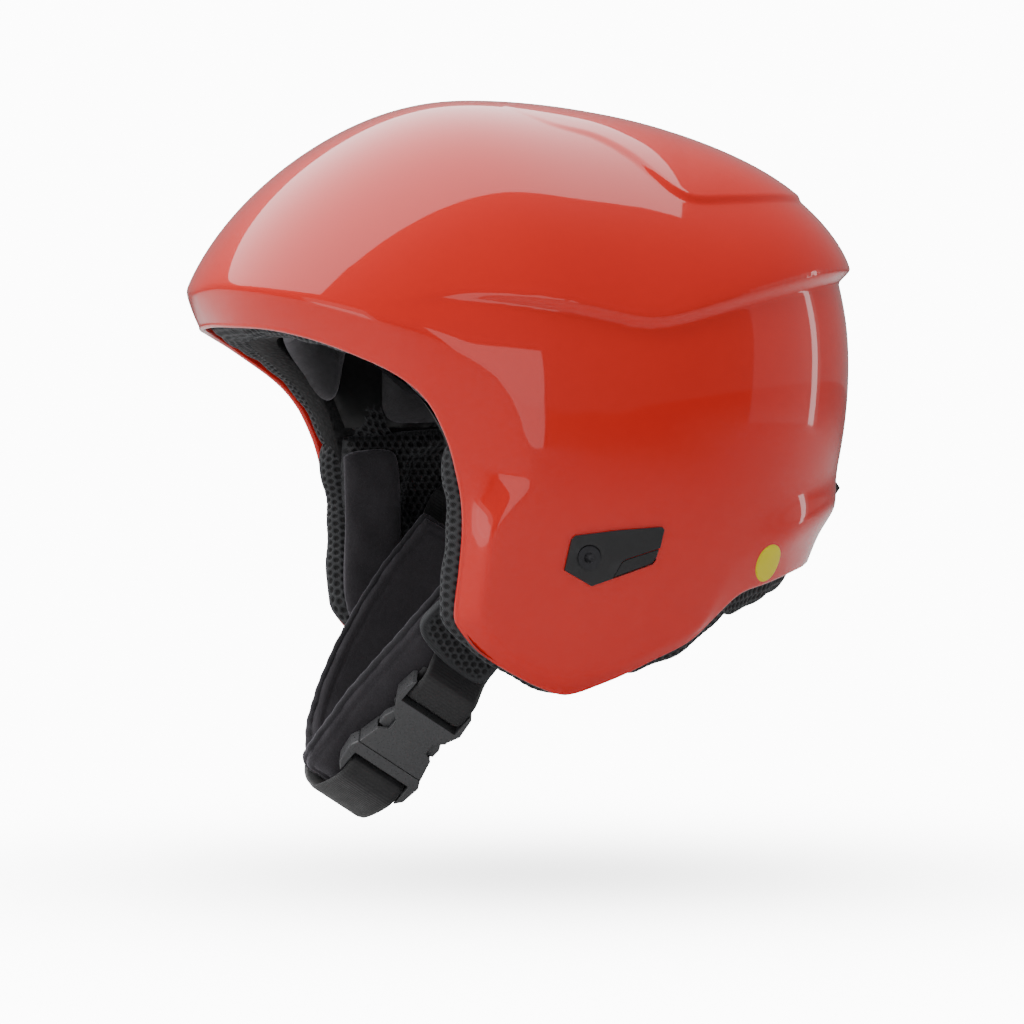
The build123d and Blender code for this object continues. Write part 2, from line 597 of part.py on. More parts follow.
with BuildPart() as stud:
    with BuildSketch(Plane(origin=(0, sy - 1.5, stud_z), z_dir=(0, 1, 0))):
        Circle(5.5)
    extrude(amount=2.9)
    with BuildSketch(Plane(origin=(0, sy + 1.2, stud_z), z_dir=(0, 1, 0))):
        Circle(3.2)
    extrude(amount=2.4)
    add(envelope(OUTER, -0.05, bottom=-128.0), mode=Mode.SUBTRACT)
save("snap_stud", stud.part)
with BuildPart() as hole:
    with BuildSketch(Plane(origin=(0, sy - 5, stud_z), z_dir=(0, 1, 0))):
        Circle(3.8)
    extrude(amount=9.2)
    with BuildSketch(Plane(origin=(0, sy - 5, stud_z), z_dir=(0, 1, 0))):
        Circle(6.4)
    extrude(amount=6.9)
strap_back = combine(ret.part, cut=[hole.part, cylinder_x(*RET_AXIS, 1.3, -12, 12)])
save("retainer_strap", strap_back)
with BuildPart() as cap:
    with BuildSketch(Plane(origin=(0, wall_y(stud_z) + 5.1, stud_z), z_dir=(0, 1, 0))):
        Circle(7.6)
    extrude(amount=1.5)
    fillet(cap.faces().sort_by(Axis.Y)[-1].edges(), 0.7)
save("retainer_cap", cap.part)

# ---- round plain label on the rear band ------------------------------------------------------
lab = Vector(88.1, 76.1, -66.0)
nrm = Vector(0.72, 0.62, -0.28).normalized()
with BuildPart() as pin:
    with BuildSketch(Plane(origin=lab - nrm * 12, z_dir=(nrm.X, nrm.Y, nrm.Z))):
        Circle(7.5)
    extrude(amount=24)
shell_body = max(hull_cut.solids(), key=lambda s: s.volume)
label = combine(pin.part, keep=[shell_body.moved(Location((nrm.X * 0.4, nrm.Y * 0.4, nrm.Z * 0.4)))],
                cut=[shell_body.moved(Location((nrm.X * 0.05, nrm.Y * 0.05, nrm.Z * 0.05)))])
label = max(label.solids(), key=lambda s: s.center().X)
save("round_label", Part() + label)

for name, part in written.items():
    bb = part.bounding_box()
    print(name, len(part.solids()), round(part.volume), [round(v, 1) for v in (*bb.min, *bb.max)])
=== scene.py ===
import bpy
import math
import numpy as np
from mathutils import Matrix, Vector


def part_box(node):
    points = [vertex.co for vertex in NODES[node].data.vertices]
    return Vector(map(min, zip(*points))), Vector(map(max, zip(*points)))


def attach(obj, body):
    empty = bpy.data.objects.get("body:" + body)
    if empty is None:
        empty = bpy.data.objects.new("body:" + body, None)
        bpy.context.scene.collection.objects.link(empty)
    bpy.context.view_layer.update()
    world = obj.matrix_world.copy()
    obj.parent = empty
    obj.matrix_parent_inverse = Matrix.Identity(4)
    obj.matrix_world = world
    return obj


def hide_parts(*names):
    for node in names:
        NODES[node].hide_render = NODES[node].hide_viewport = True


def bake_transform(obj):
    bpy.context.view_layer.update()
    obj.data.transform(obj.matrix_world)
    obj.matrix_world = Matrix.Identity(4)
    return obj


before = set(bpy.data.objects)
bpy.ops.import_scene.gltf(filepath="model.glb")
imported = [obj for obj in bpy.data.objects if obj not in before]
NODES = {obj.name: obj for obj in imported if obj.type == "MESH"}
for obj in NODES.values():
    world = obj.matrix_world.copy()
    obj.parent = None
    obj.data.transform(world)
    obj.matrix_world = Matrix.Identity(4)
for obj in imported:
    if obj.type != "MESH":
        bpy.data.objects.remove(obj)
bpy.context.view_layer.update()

# ---------------------------------------------------------------- surfaces (mm)
P_EXP = 2.25


class Periodic:
    """Periodic cubic through (degrees, value)."""

    def __init__(self, deg, val):
        self.d, self.v = np.array(deg, float), np.array(val, float)
        n = len(deg)
        self.h = np.mod(np.roll(self.d, -1) - self.d, 360.0)
        m, r = np.zeros((n, n)), np.zeros(n)
        for i in range(n):
            a, b = (i - 1) % n, (i + 1) % n
            m[i, a] += self.h[a]
            m[i, i] += 2 * (self.h[a] + self.h[i])
            m[i, b] += self.h[i]
            r[i] = 6 * ((self.v[b] - self.v[i]) / self.h[i] - (self.v[i] - self.v[a]) / self.h[a])
        self.c = np.linalg.solve(m, r)

    def __call__(self, w):
        w = np.mod(w, 360.0)
        i = np.searchsorted(self.d, w, side="right") - 1
        b = (i + 1) % len(self.d)
        t, hh = w - self.d[i], self.h[i]
        p, q = (hh - t) / hh, t / hh
        return p * self.v[i] + q * self.v[b] + ((p**3 - p) * self.c[i] + (q**3 - q) * self.c[b]) * hh * hh / 6


OUT_A = 112.0
OUT_R = Periodic([0, 18, 35, 52, 70, 90, 110, 130, 150, 168, 185, 205, 235, 270, 300, 325, 345],
                 [147.0, 145.2, 139.6, 133.8, 128.6, 121.4, 123.2, 133.0, 143.0, 138.6, 134.6, 136.5, 165.0, 200.0,
                  185.0, 165.0, 150.0])
CAV_A = 84.0
CAV_R = Periodic([0, 20, 45, 70, 90, 115, 140, 165, 190, 205, 220, 240, 270, 300, 330, 345],
                 [106.0, 104.0, 101.0, 98.0, 96.0, 98.5, 103.5, 105.5, 106.5, 112.0, 128.0, 220.0, 400.0, 300.0,
                  180.0, 130.0])


def spow(v, e):
    return np.sign(v) * np.abs(v) ** e


def chart_point(ab, A, R, d=0.0):
    """Chart (degrees from the ear pole) to surface point."""
    chi = np.hypot(ab[:, 0], ab[:, 1])
    om = np.arctan2(ab[:, 1], ab[:, 0])
    c, s = spow(np.cos(np.radians(chi)), 2 / P_EXP), spow(np.sin(np.radians(chi)), 2 / P_EXP)
    rho = (R(np.degrees(om)) - d) * s
    return np.stack([(A - d) * c, -rho * np.cos(om), rho * np.sin(om)], -1)


def chart_of(p, A, R):
    p = np.atleast_2d(np.array(p, float))
    rho, om = np.hypot(p[:, 1], p[:, 2]), np.arctan2(p[:, 2], -p[:, 1])
    q = (rho / R(np.degrees(om))) ** P_EXP
    chi = np.degrees(np.arcsin(np.sqrt(np.clip(q / (q + (np.abs(p[:, 0]) / A) ** P_EXP), 0, 1))))
    return np.stack([chi * np.cos(om), chi * np.sin(om)], -1)


def chart_yz(yz, A, R):
    """Chart place of a surface point known only in side view."""
    yz = np.atleast_2d(np.array(yz, float))
    rho, om = np.hypot(yz[:, 0], yz[:, 1]), np.arctan2(yz[:, 1], -yz[:, 0])
    s = np.clip(rho / R(np.degrees(om)), 0, 1) ** (P_EXP / 2)
    chi = np.degrees(np.arcsin(s))
    return np.stack([chi * np.cos(om), chi * np.sin(om)], -1)


def surf_normal(p, A, R):
    rho, om = np.hypot(p[:, 1], p[:, 2]) + 1e-9, np.arctan2(p[:, 2], -p[:, 1])
    deg = np.degrees(om)
    r = R(deg)
    dr = (R(deg + 0.2) - R(deg - 0.2)) / math.radians(0.4)
    gx = spow(p[:, 0] / A, P_EXP - 1) / A
    gr = (rho / r) ** (P_EXP - 1) / r
    gw = -((rho / r) ** P_EXP) * dr / r / rho
    n = np.stack([gx, -gr * np.cos(om) + gw * np.sin(om), gr * np.sin(om) + gw * np.cos(om)], -1)
    return n / np.linalg.norm(n, axis=1)[:, None]


def mid(deg):
    return [90 * math.cos(math.radians(deg)), 90 * math.sin(math.radians(deg))]


def catmull(pts, step):
    """Centripetal Catmull-Rom through chart or space points, resampled evenly."""
    p = np.array(pts, float)
    p = np.vstack([2 * p[0] - p[1], p, 2 * p[-1] - p[-2]])
    out = []
    for i in range(1, len(p) - 2):
        q = p[i - 1:i + 3]
        t = np.concatenate([[0], np.cumsum(np.sqrt(np.linalg.norm(np.diff(q, axis=0), axis=1)) + 1e-9)])
        u = np.linspace(t[1], t[2], 24, endpoint=False)[:, None]
        a1 = (t[1] - u) / (t[1] - t[0]) * q[0] + (u - t[0]) / (t[1] - t[0]) * q[1]
        a2 = (t[2] - u) / (t[2] - t[1]) * q[1] + (u - t[1]) / (t[2] - t[1]) * q[2]
        a3 = (t[3] - u) / (t[3] - t[2]) * q[2] + (u - t[2]) / (t[3] - t[2]) * q[3]
        b1 = (t[2] - u) / (t[2] - t[0]) * a1 + (u - t[0]) / (t[2] - t[0]) * a2
        b2 = (t[3] - u) / (t[3] - t[1]) * a2 + (u - t[1]) / (t[3] - t[1]) * a3
        out.append((t[2] - u) / (t[2] - t[1]) * b1 + (u - t[1]) / (t[2] - t[1]) * b2)
    out = np.vstack(out + [p[-2:-1]])
    s = np.concatenate([[0], np.cumsum(np.linalg.norm(np.diff(out, axis=0), axis=1))])
    keep = np.concatenate([[True], np.diff(s) > 1e-9])
    out, s = out[keep], s[keep]
    n = max(8, int(round(s[-1] / step)) + 1)
    w = np.linspace(0, s[-1], n)
    return np.stack([np.interp(w, s, out[:, k]) for k in range(out.shape[1])], -1)


def to_curve(q, curve, sign_of=None, sign_curve=None):
    """(distance, fraction along, side) of points q to a dense polyline; side is + on the left of travel."""
    dist, frac, side = np.empty(len(q)), np.empty(len(q)), np.empty(len(q))
    sq, sc = (q, curve) if sign_of is None else (sign_of, sign_curve)
    n = len(curve)
    for a in range(0, len(q), 20000):
        b = min(len(q), a + 20000)
        d2 = ((q[a:b, None, :] - curve[None, ::1, :]) ** 2).sum(-1)
        k = d2.argmin(1)
        best = np.full(b - a, np.inf)
        bf = np.zeros(b - a)
        bs = np.ones(b - a)
        for off in (-1, 0):
            i = np.clip(k + off, 0, n - 2)
            p0, p1 = curve[i], curve[i + 1]
            v = p1 - p0
            lo = np.where(i == 0, -1e9, 0.0)
            hi = np.where(i == n - 2, 1e9, 1.0)
            t = np.clip(((q[a:b] - p0) * v).sum(-1) / (v * v).sum(-1), lo, hi)
            d = np.linalg.norm(q[a:b] - p0 - t[:, None] * v, axis=1)
            e0, e1 = sc[i], sc[i + 1]
            w = e1 - e0
            r = sq[a:b] - e0
            s = np.sign(w[:, 0] * r[:, 1] - w[:, 1] * r[:, 0])
            m = d < best
            best[m], bf[m], bs[m] = d[m], ((i + np.clip(t, 0, 1)) / (n - 1))[m], s[m]
        dist[a:b], frac[a:b], side[a:b] = best, bf, np.where(bs == 0, 1, bs)
    return dist, frac, side


def sstep(x, a, b):
    t = np.clip((x - a) / (b - a), 0, 1)
    return t * t * (3 - 2 * t)


RIM_YZ = [(-139.5, 32.6), (-128.8, 30.6), (-113.5, 25.4), (-97.0, 17.9), (-84.0, 11.0), (-75.5, 4.5), (-69.8, -2.0),
          (-64.5, -12.0), (-59.8, -26.0), (-56.7, -40.0), (-55.7, -52.0), (-56.3, -70.0), (-57.2, -84.0),
          (-56.8, -89.5), (-54.0, -93.8), (-47.1, -101.0), (-30, -111.3), (-15.5, -117.3), (-11.5, -118.1),
          (-7.0, -117.4), (3.9, -113.4), (23.3, -104.9), (40.5, -97.0), (46.0, -92.8), (50.5, -88.5), (60.6, -79.8),
          (66, -76.9), (76.7, -74.2), (99, -68.8), (113.0, -66.6)]
rim_chart = catmull([mid(13.2)] + [list(v) for v in chart_yz(RIM_YZ, OUT_A, OUT_R)] + [mid(208.6)], 0.3)
RIM_H = [(0, 10), (0.06, 10), (0.12, 9.5), (0.2, 8.5), (0.255, 7), (0.29, 5.5), (0.33, 4.8), (0.37, 6), (0.41, 7),
         (0.46, 6.8), (0.50, 6.0), (0.54, 4.6), (0.60, 2.8), (0.70, 1.6), (0.78, 1.5), (0.84, 2.0), (0.92, 3.5), (1, 4.5)]
CREASE = [(23.7, -135.5, 44.4), (42.9, -130.0, 42.9), (67.2, -115.6, 38.8), (80.3, -102.7, 35.3),
          (91.5, -87.3, 30.2), (98.6, -73.2, 26.3), (102.7, -63.0, 22.0), (106.3, -52.6, 15.0), (108.7, -43.6, 6.9),
          (109.5, -39.4, -0.1), (109.7, -36.2, -8.0), (109.9, -33.2, -19.9), (109.7, -31.2, -29.9),
          (109.3, -32.2, -34.5), (107.9, -37.5, -41.0), (106.6, -42.6, -47.6), (105.4, -45.6, -53.8),
          (103.2, -47.2, -66.7), (100.5, -48.4, -79.7), (99.0, -48.2, -86.5), (98.2, -45.6, -91.6),
          (97.7, -37.4, -99.0), (97.6, -28.6, -105.1), (97.0, -20.0, -109.6), (97.2, -11.5, -111.8),
          (97.9, -3.4, -110.1), (98.7, 23.2, -100.2), (97.0, 40.0, -93.3), (96.3, 45.6, -89.3), (97.3, 50.6, -79.5),
          (97.3, 57.0, -68.4), (95.8, 63.9, -62.9), (90.3, 76.9, -58.7), (74.2, 97.7, -50.6), (45.9, 118.5, -44.5)]
crease_chart = catmull([mid(17.4)] + [list(v) for v in chart_of(CREASE, OUT_A, OUT_R)] + [mid(197.6)], 0.3)
LEDGE_U = [(60, -118, 42.0), (80.0, -100.5, 38.5), (92.7, -83.5, 38.0), (95.2, -74.3, 39.6), (98.9, -62.7, 40.8),
           (102.7, -49.5, 40.3), (105.8, -35.7, 38.9), (108.6, -12.3, 36.2), (109.3, 3.4, 33.0), (109.4, 11.8, 31.3),
           (109.1, 19.4, 31.0), (108.2, 28.2, 31.9), (105.7, 42.0, 35.6), (97.9, 66.5, 42.5), (81.5, 94.7, 49.1),
           (60.0, 115.0, 52.0), (35.0, 130.0, 54.0)]
LEDGE_L = [(92.7, -83.5, 34.0), (98.9, -62.7, 36.5), (105.8, -35.7, 36.0), (109.3, -12.6, 32.6), (109.8, 3.3, 29.5),
           (109.8, 12.9, 27.4), (109.5, 21.3, 27.2), (108.4, 30.3, 28.6), (104.8, 47.8, 32.6), (97.3, 70.1, 38.2),
           (83.9, 93.8, 43.3), (62.0, 113.0, 46.5), (35.0, 129.0, 48.0)]
ledge_chart = catmull([mid(30)] + [list(v) for v in chart_of(LEDGE_U, OUT_A, OUT_R)] + [mid(158.8)], 0.3)
ledgel_chart = catmull([mid(26)] + [list(v) for v in chart_of(LEDGE_L, OUT_A, OUT_R)] + [mid(161.4)], 0.3)
PANEL = [(17.5, -22.5, 121.7), (36.6, -18.3, 118.1), (54.4, -6.8, 110.9), (62.5, 10.8, 105.1), (71.4, 22.0, 97.6),
         (79.3, 29.9, 89.2), (84.4, 37.8, 81.8), (85.4, 45.0, 78.9), (79.3, 62.5, 79.0), (67.4, 83.6, 80.3),
         (37.8, 108.6, 81.9)]
panel_chart = catmull([mid(79)] + [list(v) for v in chart_of(PANEL, OUT_A, OUT_R)] + [mid(142.5)], 0.3)
rim_3d = chart_point(rim_chart, OUT_A, OUT_R)
crease_3d = chart_point(crease_chart, OUT_A, OUT_R)
ledge_3d = chart_point(ledge_chart, OUT_A, OUT_R)
ledgel_3d = chart_point(ledgel_chart, OUT_A, OUT_R)
panel_3d = chart_point(panel_chart, OUT_A, OUT_R)


def shell_inset(ab, p):
    """How far inward of the base surface the shell lies, mm."""
    d0, f0, s0 = to_curve(p, rim_3d, ab, rim_chart)
    d1, _, s1 = to_curve(p, crease_3d, ab, crease_chart)
    t = d1 * s1                                     # + on the band side
    width = np.maximum(d0 + d1, 2.0)
    hb = np.interp(f0, [v[0] for v in RIM_H], [v[1] for v in RIM_H])
    k = 1.3
    ramp = (t + np.sqrt(t * t + k * k)) / 2
    ramp0 = (-25 + np.sqrt(625 + k * k)) / 2
    h = hb / width * np.minimum(ramp - ramp0, width + 3)
    rear = sstep(p[:, 1], 58, 92)
    h -= 2.4 * rear * np.exp(-((t + 1.0) / 9.0) ** 2)
    # ledge and spoiler: proud above the line, fading up into the dome
    du, fu, su = to_curve(p, ledge_3d, ab, ledge_chart)
    dl, _, sl = to_curve(p, ledgel_3d, ab, ledgel_chart)
    tu = du * su                                    # + below the upper line
    gap = np.maximum(du + dl, 1.0)
    up = np.interp(p[:, 1], [-95, -60, -20, 20, 70, 100, 125, 140], [0, 0.5, 2.0, 2.6, 3.4, 4.2, 5.2, 6.0])
    between = np.clip((tu + np.sqrt(tu * tu + 0.6)) / 2 / gap, 0, 1)
    between = np.where(sl > 0, 1.0, between)
    fade = np.exp(-(np.maximum(-tu, 0) / np.interp(p[:, 1], [0, 110], [34, 26])) ** 1.6)
    h -= up * np.where(tu < 0, fade * (1 - between), 1 - sstep(between, 0.0, 1.0))
    h += 0.9 * sstep(p[:, 1], -70, 0) * np.where(sl > 0, np.exp(-(dl / 16.0) ** 2), sstep(between, 0, 1))
    # raised crown panel
    dp, _, sp = to_curve(p, panel_3d, ab, panel_chart)
    tp = dp * sp
    h -= 1.4 * sstep(p[:, 1], -25, 25) * sstep(-tp, -1.6, 2.2) * np.exp(-(np.maximum(-tp, 0) / 40.0) ** 2)
    return h, d0 * -s0


def shell_point(ab):
    p = chart_point(ab, OUT_A, OUT_R)
    h, keep = shell_inset(ab, p)
    return p - surf_normal(p, OUT_A, OUT_R) * h[:, None], keep


# ---------------------------------------------------------------- mesh helpers (mm in, metres out)
def clip_grid(us, vs, levels):
    """Quads of a regular grid kept where every level function is positive, cut exactly along the zero lines.
    Returns points (N, 2), faces, and for each level the set of points on its line."""
    nu, nv = len(us), len(vs)
    gu, gv = np.meshgrid(us, vs, indexing="ij")
    pts = np.stack([gu.ravel(), gv.ravel()], -1)
    ids = np.arange(nu * nv).reshape(nu, nv)
    quads = np.stack([ids[:-1, :-1], ids[1:, :-1], ids[1:, 1:], ids[:-1, 1:]], -1).reshape(-1, 4)
    faces = [tuple(q) for q in quads]
    on_line = []
    for level in levels:
        used = np.unique(np.concatenate([np.array(f) for f in faces])) if any(len(f) != 4 for f in faces) else np.unique(np.array(faces))
        g = np.full(len(pts), -1.0)
        g[used] = level(pts[used])
        new_pts, cache, out, line = [], {}, [], set()
        base = len(pts)

        def cut(a, b):
            key = (min(a, b), max(a, b))
            if key not in cache:
                t = g[a] / (g[a] - g[b])
                cache[key] = base + len(new_pts)
                new_pts.append(pts[a] + (pts[b] - pts[a]) * t)
                line.add(cache[key])
            return cache[key]

        for f in faces:
            s = [g[i] > 0 for i in f]
            if all(s):
                out.append(f)
            elif any(s):
                poly = []
                for k, i in enumerate(f):
                    j = f[(k + 1) % len(f)]
                    if s[k]:
                        poly.append(i)
                    if s[k] != s[(k + 1) % len(f)]:
                        poly.append(cut(i, j))
                if len(poly) >= 3:
                    out.append(tuple(poly))
        pts = np.vstack([pts, np.array(new_pts).reshape(-1, 2)])
        faces = out
        on_line.append(line)
    used = np.unique(np.concatenate([np.array(f) for f in faces]))
    remap = np.full(len(pts), -1)
    remap[used] = np.arange(len(used))
    faces = [tuple(int(remap[i]) for i in f) for f in faces]
    lines = [np.array(sorted(int(remap[i]) for i in ln if remap[i] >= 0), int) for ln in on_line]
    return pts[used], faces, lines


def make(name, verts, faces, mat, body, normals=None, values=None, smooth=True, uv=None):
    me = bpy.data.meshes.new(name)
    me.from_pydata((np.asarray(verts) * 0.001).tolist(), [], [list(map(int, f)) for f in faces])
    me.update()
    if smooth:
        me.polygons.foreach_set("use_smooth", np.ones(len(me.polygons), bool))
    for key, val in (values or {}).items():
        at = me.attributes.new(key, "FLOAT", "POINT")
        at.data.foreach_set("value", np.asarray(val, np.float32))
    if uv is not None:
        layer = me.uv_layers.new(name="UVMap")
        loops = np.empty(len(me.loops), int)
        me.loops.foreach_get("vertex_index", loops)
        layer.data.foreach_set("uv", (np.asarray(uv)[loops] * 0.001).astype(np.float32).ravel())
    if normals is not None:
        me.normals_split_custom_set_from_vertices(np.asarray(normals).tolist())
    me.materials.append(mat)
    ob = bpy.data.objects.new(name, me)
    bpy.context.scene.collection.objects.link(ob)
    if body:
        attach(ob, body)
    return ob


def mirrored(verts, faces, *rows):
    """Left half plus its mirror image; points on the midplane are shared."""
    verts = np.asarray(verts)
    on = np.abs(verts[:, 0]) < 1e-4
    idx = np.arange(len(verts))
    extra = idx[~on]
    mp = idx.copy()
    mp[~on] = len(verts) + np.arange(len(extra))
    v2 = verts[extra] * [-1, 1, 1]
    f2 = [tuple(int(mp[i]) for i in f[::-1]) for f in faces]
    out = [np.vstack([verts, v2]), list(faces) + f2]
    for r in rows:
        r = np.asarray(r)
        out.append(np.concatenate([r, r[extra] * ([-1, 1, 1] if r.ndim == 2 and r.shape[1] == 3 else 1)]))
    return out


def grid_faces(nu, nv, wrap_u=False, wrap_v=False):
    iu, iv = np.arange(nu if wrap_u else nu - 1), np.arange(nv if wrap_v else nv - 1)
    a, b = np.meshgrid(iu, iv, indexing="ij")
    a2, b2 = (a + 1) % nu, (b + 1) % nv
    return [tuple(r) for r in np.stack([a * nv + b, a2 * nv + b, a2 * nv + b2, a * nv + b2], -1).reshape(-1, 4)]


def hexhole(u, v, pitch=3.4, r0=0.78, r1=1.42):
    """1 in the middle of a knit hole, 0 on the ribs between holes."""
    ph = pitch * math.sqrt(3)
    best = np.full(np.shape(u), 9.0)
    for ou, ov in ((0, 0), (pitch / 2, ph / 2)):
        du = (u - ou) - np.round((u - ou) / pitch) * pitch
        dv = (v - ov) - np.round((v - ov) / ph) * ph
        best = np.minimum(best, np.hypot(du, dv * 0.92))
    return 1 - sstep(best, r0, r1)


def sd_poly(p, poly):
    """Signed distance to a closed polygon, + inside."""
    poly = np.array(poly, float)
    a, b = poly, np.roll(poly, -1, 0)
    out = np.empty(len(p))
    for k in range(0, len(p), 30000):
        q = p[k:k + 30000, None, :]
        v = b - a
        t = np.clip(((q - a) * v).sum(-1) / ((v * v).sum(-1) + 1e-12), 0, 1)
        d = np.sqrt(((q - a - t[..., None] * v) ** 2).sum(-1)).min(1)
        x, y = q[..., 0], q[..., 1]
        cross = ((a[:, 1] > y) != (b[:, 1] > y)) & (x < (b[:, 0] - a[:, 0]) * (y - a[:, 1]) / (b[:, 1] - a[:, 1] + 1e-12) + a[:, 0])
        out[k:k + 30000] = np.where(cross.sum(1) % 2 == 1, d, -d)
    return out


def dome(s, r):
    t = np.clip(s / r, 0, 1)
    return np.sqrt(np.clip(1 - (1 - t) ** 2, 0, 1))


def boundary(faces):
    """Directed boundary edges."""
    seen = {}
    for f in faces:
        for k in range(len(f)):
            seen[(f[k], f[(k + 1) % len(f)])] = 1
    return [e for e in seen if (e[1], e[0]) not in seen]


# ---------------------------------------------------------------- materials
class Nodes:
    def __init__(self, name):
        self.m = bpy.data.materials.new(name)
        self.m.use_nodes = True
        self.t = self.m.node_tree
        self.t.nodes.clear()
        self.out = self.t.nodes.new("ShaderNodeOutputMaterial")
        self.b = self.t.nodes.new("ShaderNodeBsdfPrincipled")
        self.t.links.new(self.b.outputs[0], self.out.inputs[0])

    def n(self, kind, **props):
        node = self.t.nodes.new(kind)
        for k, v in props.items():
            if hasattr(node, k):
                setattr(node, k, v)
            else:
                node.inputs[k.replace("_", " ")].default_value = v
        return node

    def link(self, a, b):
        self.t.links.new(a, b)

    def noise(self, scale, detail=3.0, rough=0.55, coords=None):
        t = self.n("ShaderNodeTexNoise")
        t.inputs["Scale"].default_value = scale
        t.inputs["Detail"].default_value = detail
        t.inputs["Roughness"].default_value = rough
        self.link((coords or self.obj()), t.inputs["Vector"])
        return t.outputs["Fac"]

    def obj(self):
        if not hasattr(self, "_o"):
            self._o = self.n("ShaderNodeTexCoord").outputs["Object"]
        return self._o

    def ramp(self, fac, stops):
        r = self.n("ShaderNodeValToRGB")
        while len(r.color_ramp.elements) < len(stops):
            r.color_ramp.elements.new(0.5)
        for e, (p, c) in zip(r.color_ramp.elements, stops):
            e.position, e.color = p, (*c, 1.0) if len(c) == 3 else c
        self.link(fac, r.inputs[0])
        return r.outputs[0]

    def math(self, op, a, b=None):
        m = self.n("ShaderNodeMath", operation=op)
        for i, v in enumerate((a, b)):
            if v is None:
                continue
            if isinstance(v, (int, float)):
                m.inputs[i].default_value = v
            else:
                self.link(v, m.inputs[i])
        return m.outputs[0]

    def mix(self, fac, a, b):
        m = self.n("ShaderNodeMix", data_type="RGBA")
        if isinstance(fac, (int, float)):
            m.inputs[0].default_value = fac
        else:
            self.link(fac, m.inputs[0])
        for i, v in ((6, a), (7, b)):
            if isinstance(v, tuple):
                m.inputs[i].default_value = (*v, 1.0)
            else:
                self.link(v, m.inputs[i])
        return m.outputs[2]

    def attr(self, name):
        a = self.n("ShaderNodeAttribute")
        a.attribute_name = name
        return a.outputs["Fac"]

    def bump(self, height, strength, distance, normal=None):
        b = self.n("ShaderNodeBump")
        b.inputs["Strength"].default_value = strength
        b.inputs["Distance"].default_value = distance
        self.link(height, b.inputs["Height"])
        if normal is not None:
            self.link(normal, b.inputs["Normal"])
        return b.outputs[0]

    def set(self, **kw):
        for k, v in kw.items():
            sock = self.b.inputs[k.replace("_", " ")]
            if isinstance(v, (int, float)):
                sock.default_value = v
            elif isinstance(v, tuple):
                sock.default_value = (*v, 1.0) if len(v) == 3 else v
            else:
                self.link(v, sock)
        return self


def paint_mat():
    k = Nodes("red_gloss_paint")
    big = k.noise(9.0, 2.0)
    fine = k.noise(2600.0, 2.0)
    col = k.mix(k.ramp(big, [(0.35, (0, 0, 0)), (0.65, (1, 1, 1))]), (0.80, 0.0130, 0.0042), (0.84, 0.0150, 0.0052))
    col = k.mix(k.math("MULTIPLY", fine, 0.08), col, (0.86, 0.026, 0.012))
    scuff = k.ramp(k.noise(420.0, 3.0, 0.6), [(0.2, (0.38,) * 3), (0.8, (0.43,) * 3)])
    peel = k.bump(k.noise(330.0, 1.0), 0.03, 0.0003)
    k.set(Base_Color=col, Roughness=scuff, Normal=peel, Coat_Weight=1.0, Coat_Roughness=0.035, Coat_IOR=1.5,
          Specular_IOR_Level=0.12)
    return k.m


def knit_mat(name, rib, hole):
    """Spacer knit: the open holes are modelled, and their attribute darkens them to near black as painted shade inside
    the holes.
    """
    k = Nodes(name)
    h = k.attr("hole")
    fib = k.noise(2300.0, 3.0, 0.65)
    tone = k.noise(60.0, 2.0)
    ribc = k.mix(fib, tuple(0.62 * c for c in rib), tuple(1.35 * c for c in rib))
    ribc = k.mix(k.math("MULTIPLY", tone, 0.3), ribc, tuple(1.5 * c for c in rib))
    # painted shade: the hole attribute blends the rib colour into the near-black hole colour
    col = k.mix(k.ramp(h, [(0.15, (0, 0, 0)), (0.75, (1, 1, 1))]), ribc, hole)
    w = k.n("ShaderNodeTexWave", wave_type="BANDS", bands_direction="DIAGONAL")
    w.inputs["Scale"].default_value = 420.0
    w.inputs["Distortion"].default_value = 1.5
    k.link(k.obj(), w.inputs["Vector"])
    nb = k.bump(w.outputs["Fac"], 0.35, 0.0003)
    nb = k.bump(fib, 0.5, 0.0003, nb)
    k.set(Base_Color=col, Roughness=0.62, Normal=nb, Sheen_Weight=0.25, Sheen_Roughness=0.4, Specular_IOR_Level=0.4)
    k.b.inputs["Sheen Tint"].default_value = (0.6, 0.62, 0.66, 1)
    return k.m


def plush_mat(name, base, sheen=0.55):
    k = Nodes(name)
    fib = k.noise(1500.0, 4.0, 0.7)
    nap = k.noise(85.0, 3.0, 0.6)
    speck = k.noise(4200.0, 2.0, 0.6)
    col = k.mix(nap, tuple(0.75 * c for c in base), tuple(1.3 * c for c in base))
    col = k.mix(k.ramp(speck, [(0.5, (0, 0, 0)), (0.75, (1, 1, 1))]), col, tuple(2.1 * c for c in base))
    nb = k.bump(fib, 0.45, 0.0005)
    nb = k.bump(nap, 0.12, 0.0014, nb)
    k.set(Base_Color=col, Roughness=0.95, Normal=nb, Sheen_Weight=sheen, Sheen_Roughness=0.45,
          Specular_IOR_Level=0.15)
    k.b.inputs["Sheen Tint"].default_value = (0.75, 0.72, 0.8, 1)
    return k.m


def web_mat(name, base):
    k = Nodes(name)
    fib = k.noise(2600.0, 3.0, 0.6)
    long = k.noise(140.0, 2.0)
    col = k.mix(fib, tuple(0.6 * c for c in base), tuple(1.7 * c for c in base))
    # painted highlight: the rib attribute lightens the rib crests towards 2.4 times the base colour, leaving the
    # grooves darker as painted shade
    col = k.mix(k.attr("rib"), col, tuple(2.4 * c for c in base))
    nb = k.bump(fib, 0.5, 0.0003)
    k.set(Base_Color=col, Roughness=k.ramp(long, [(0.3, (0.42,) * 3), (0.7, (0.6,) * 3)]), Normal=nb,
          Sheen_Weight=0.15, Specular_IOR_Level=0.5)
    return k.m


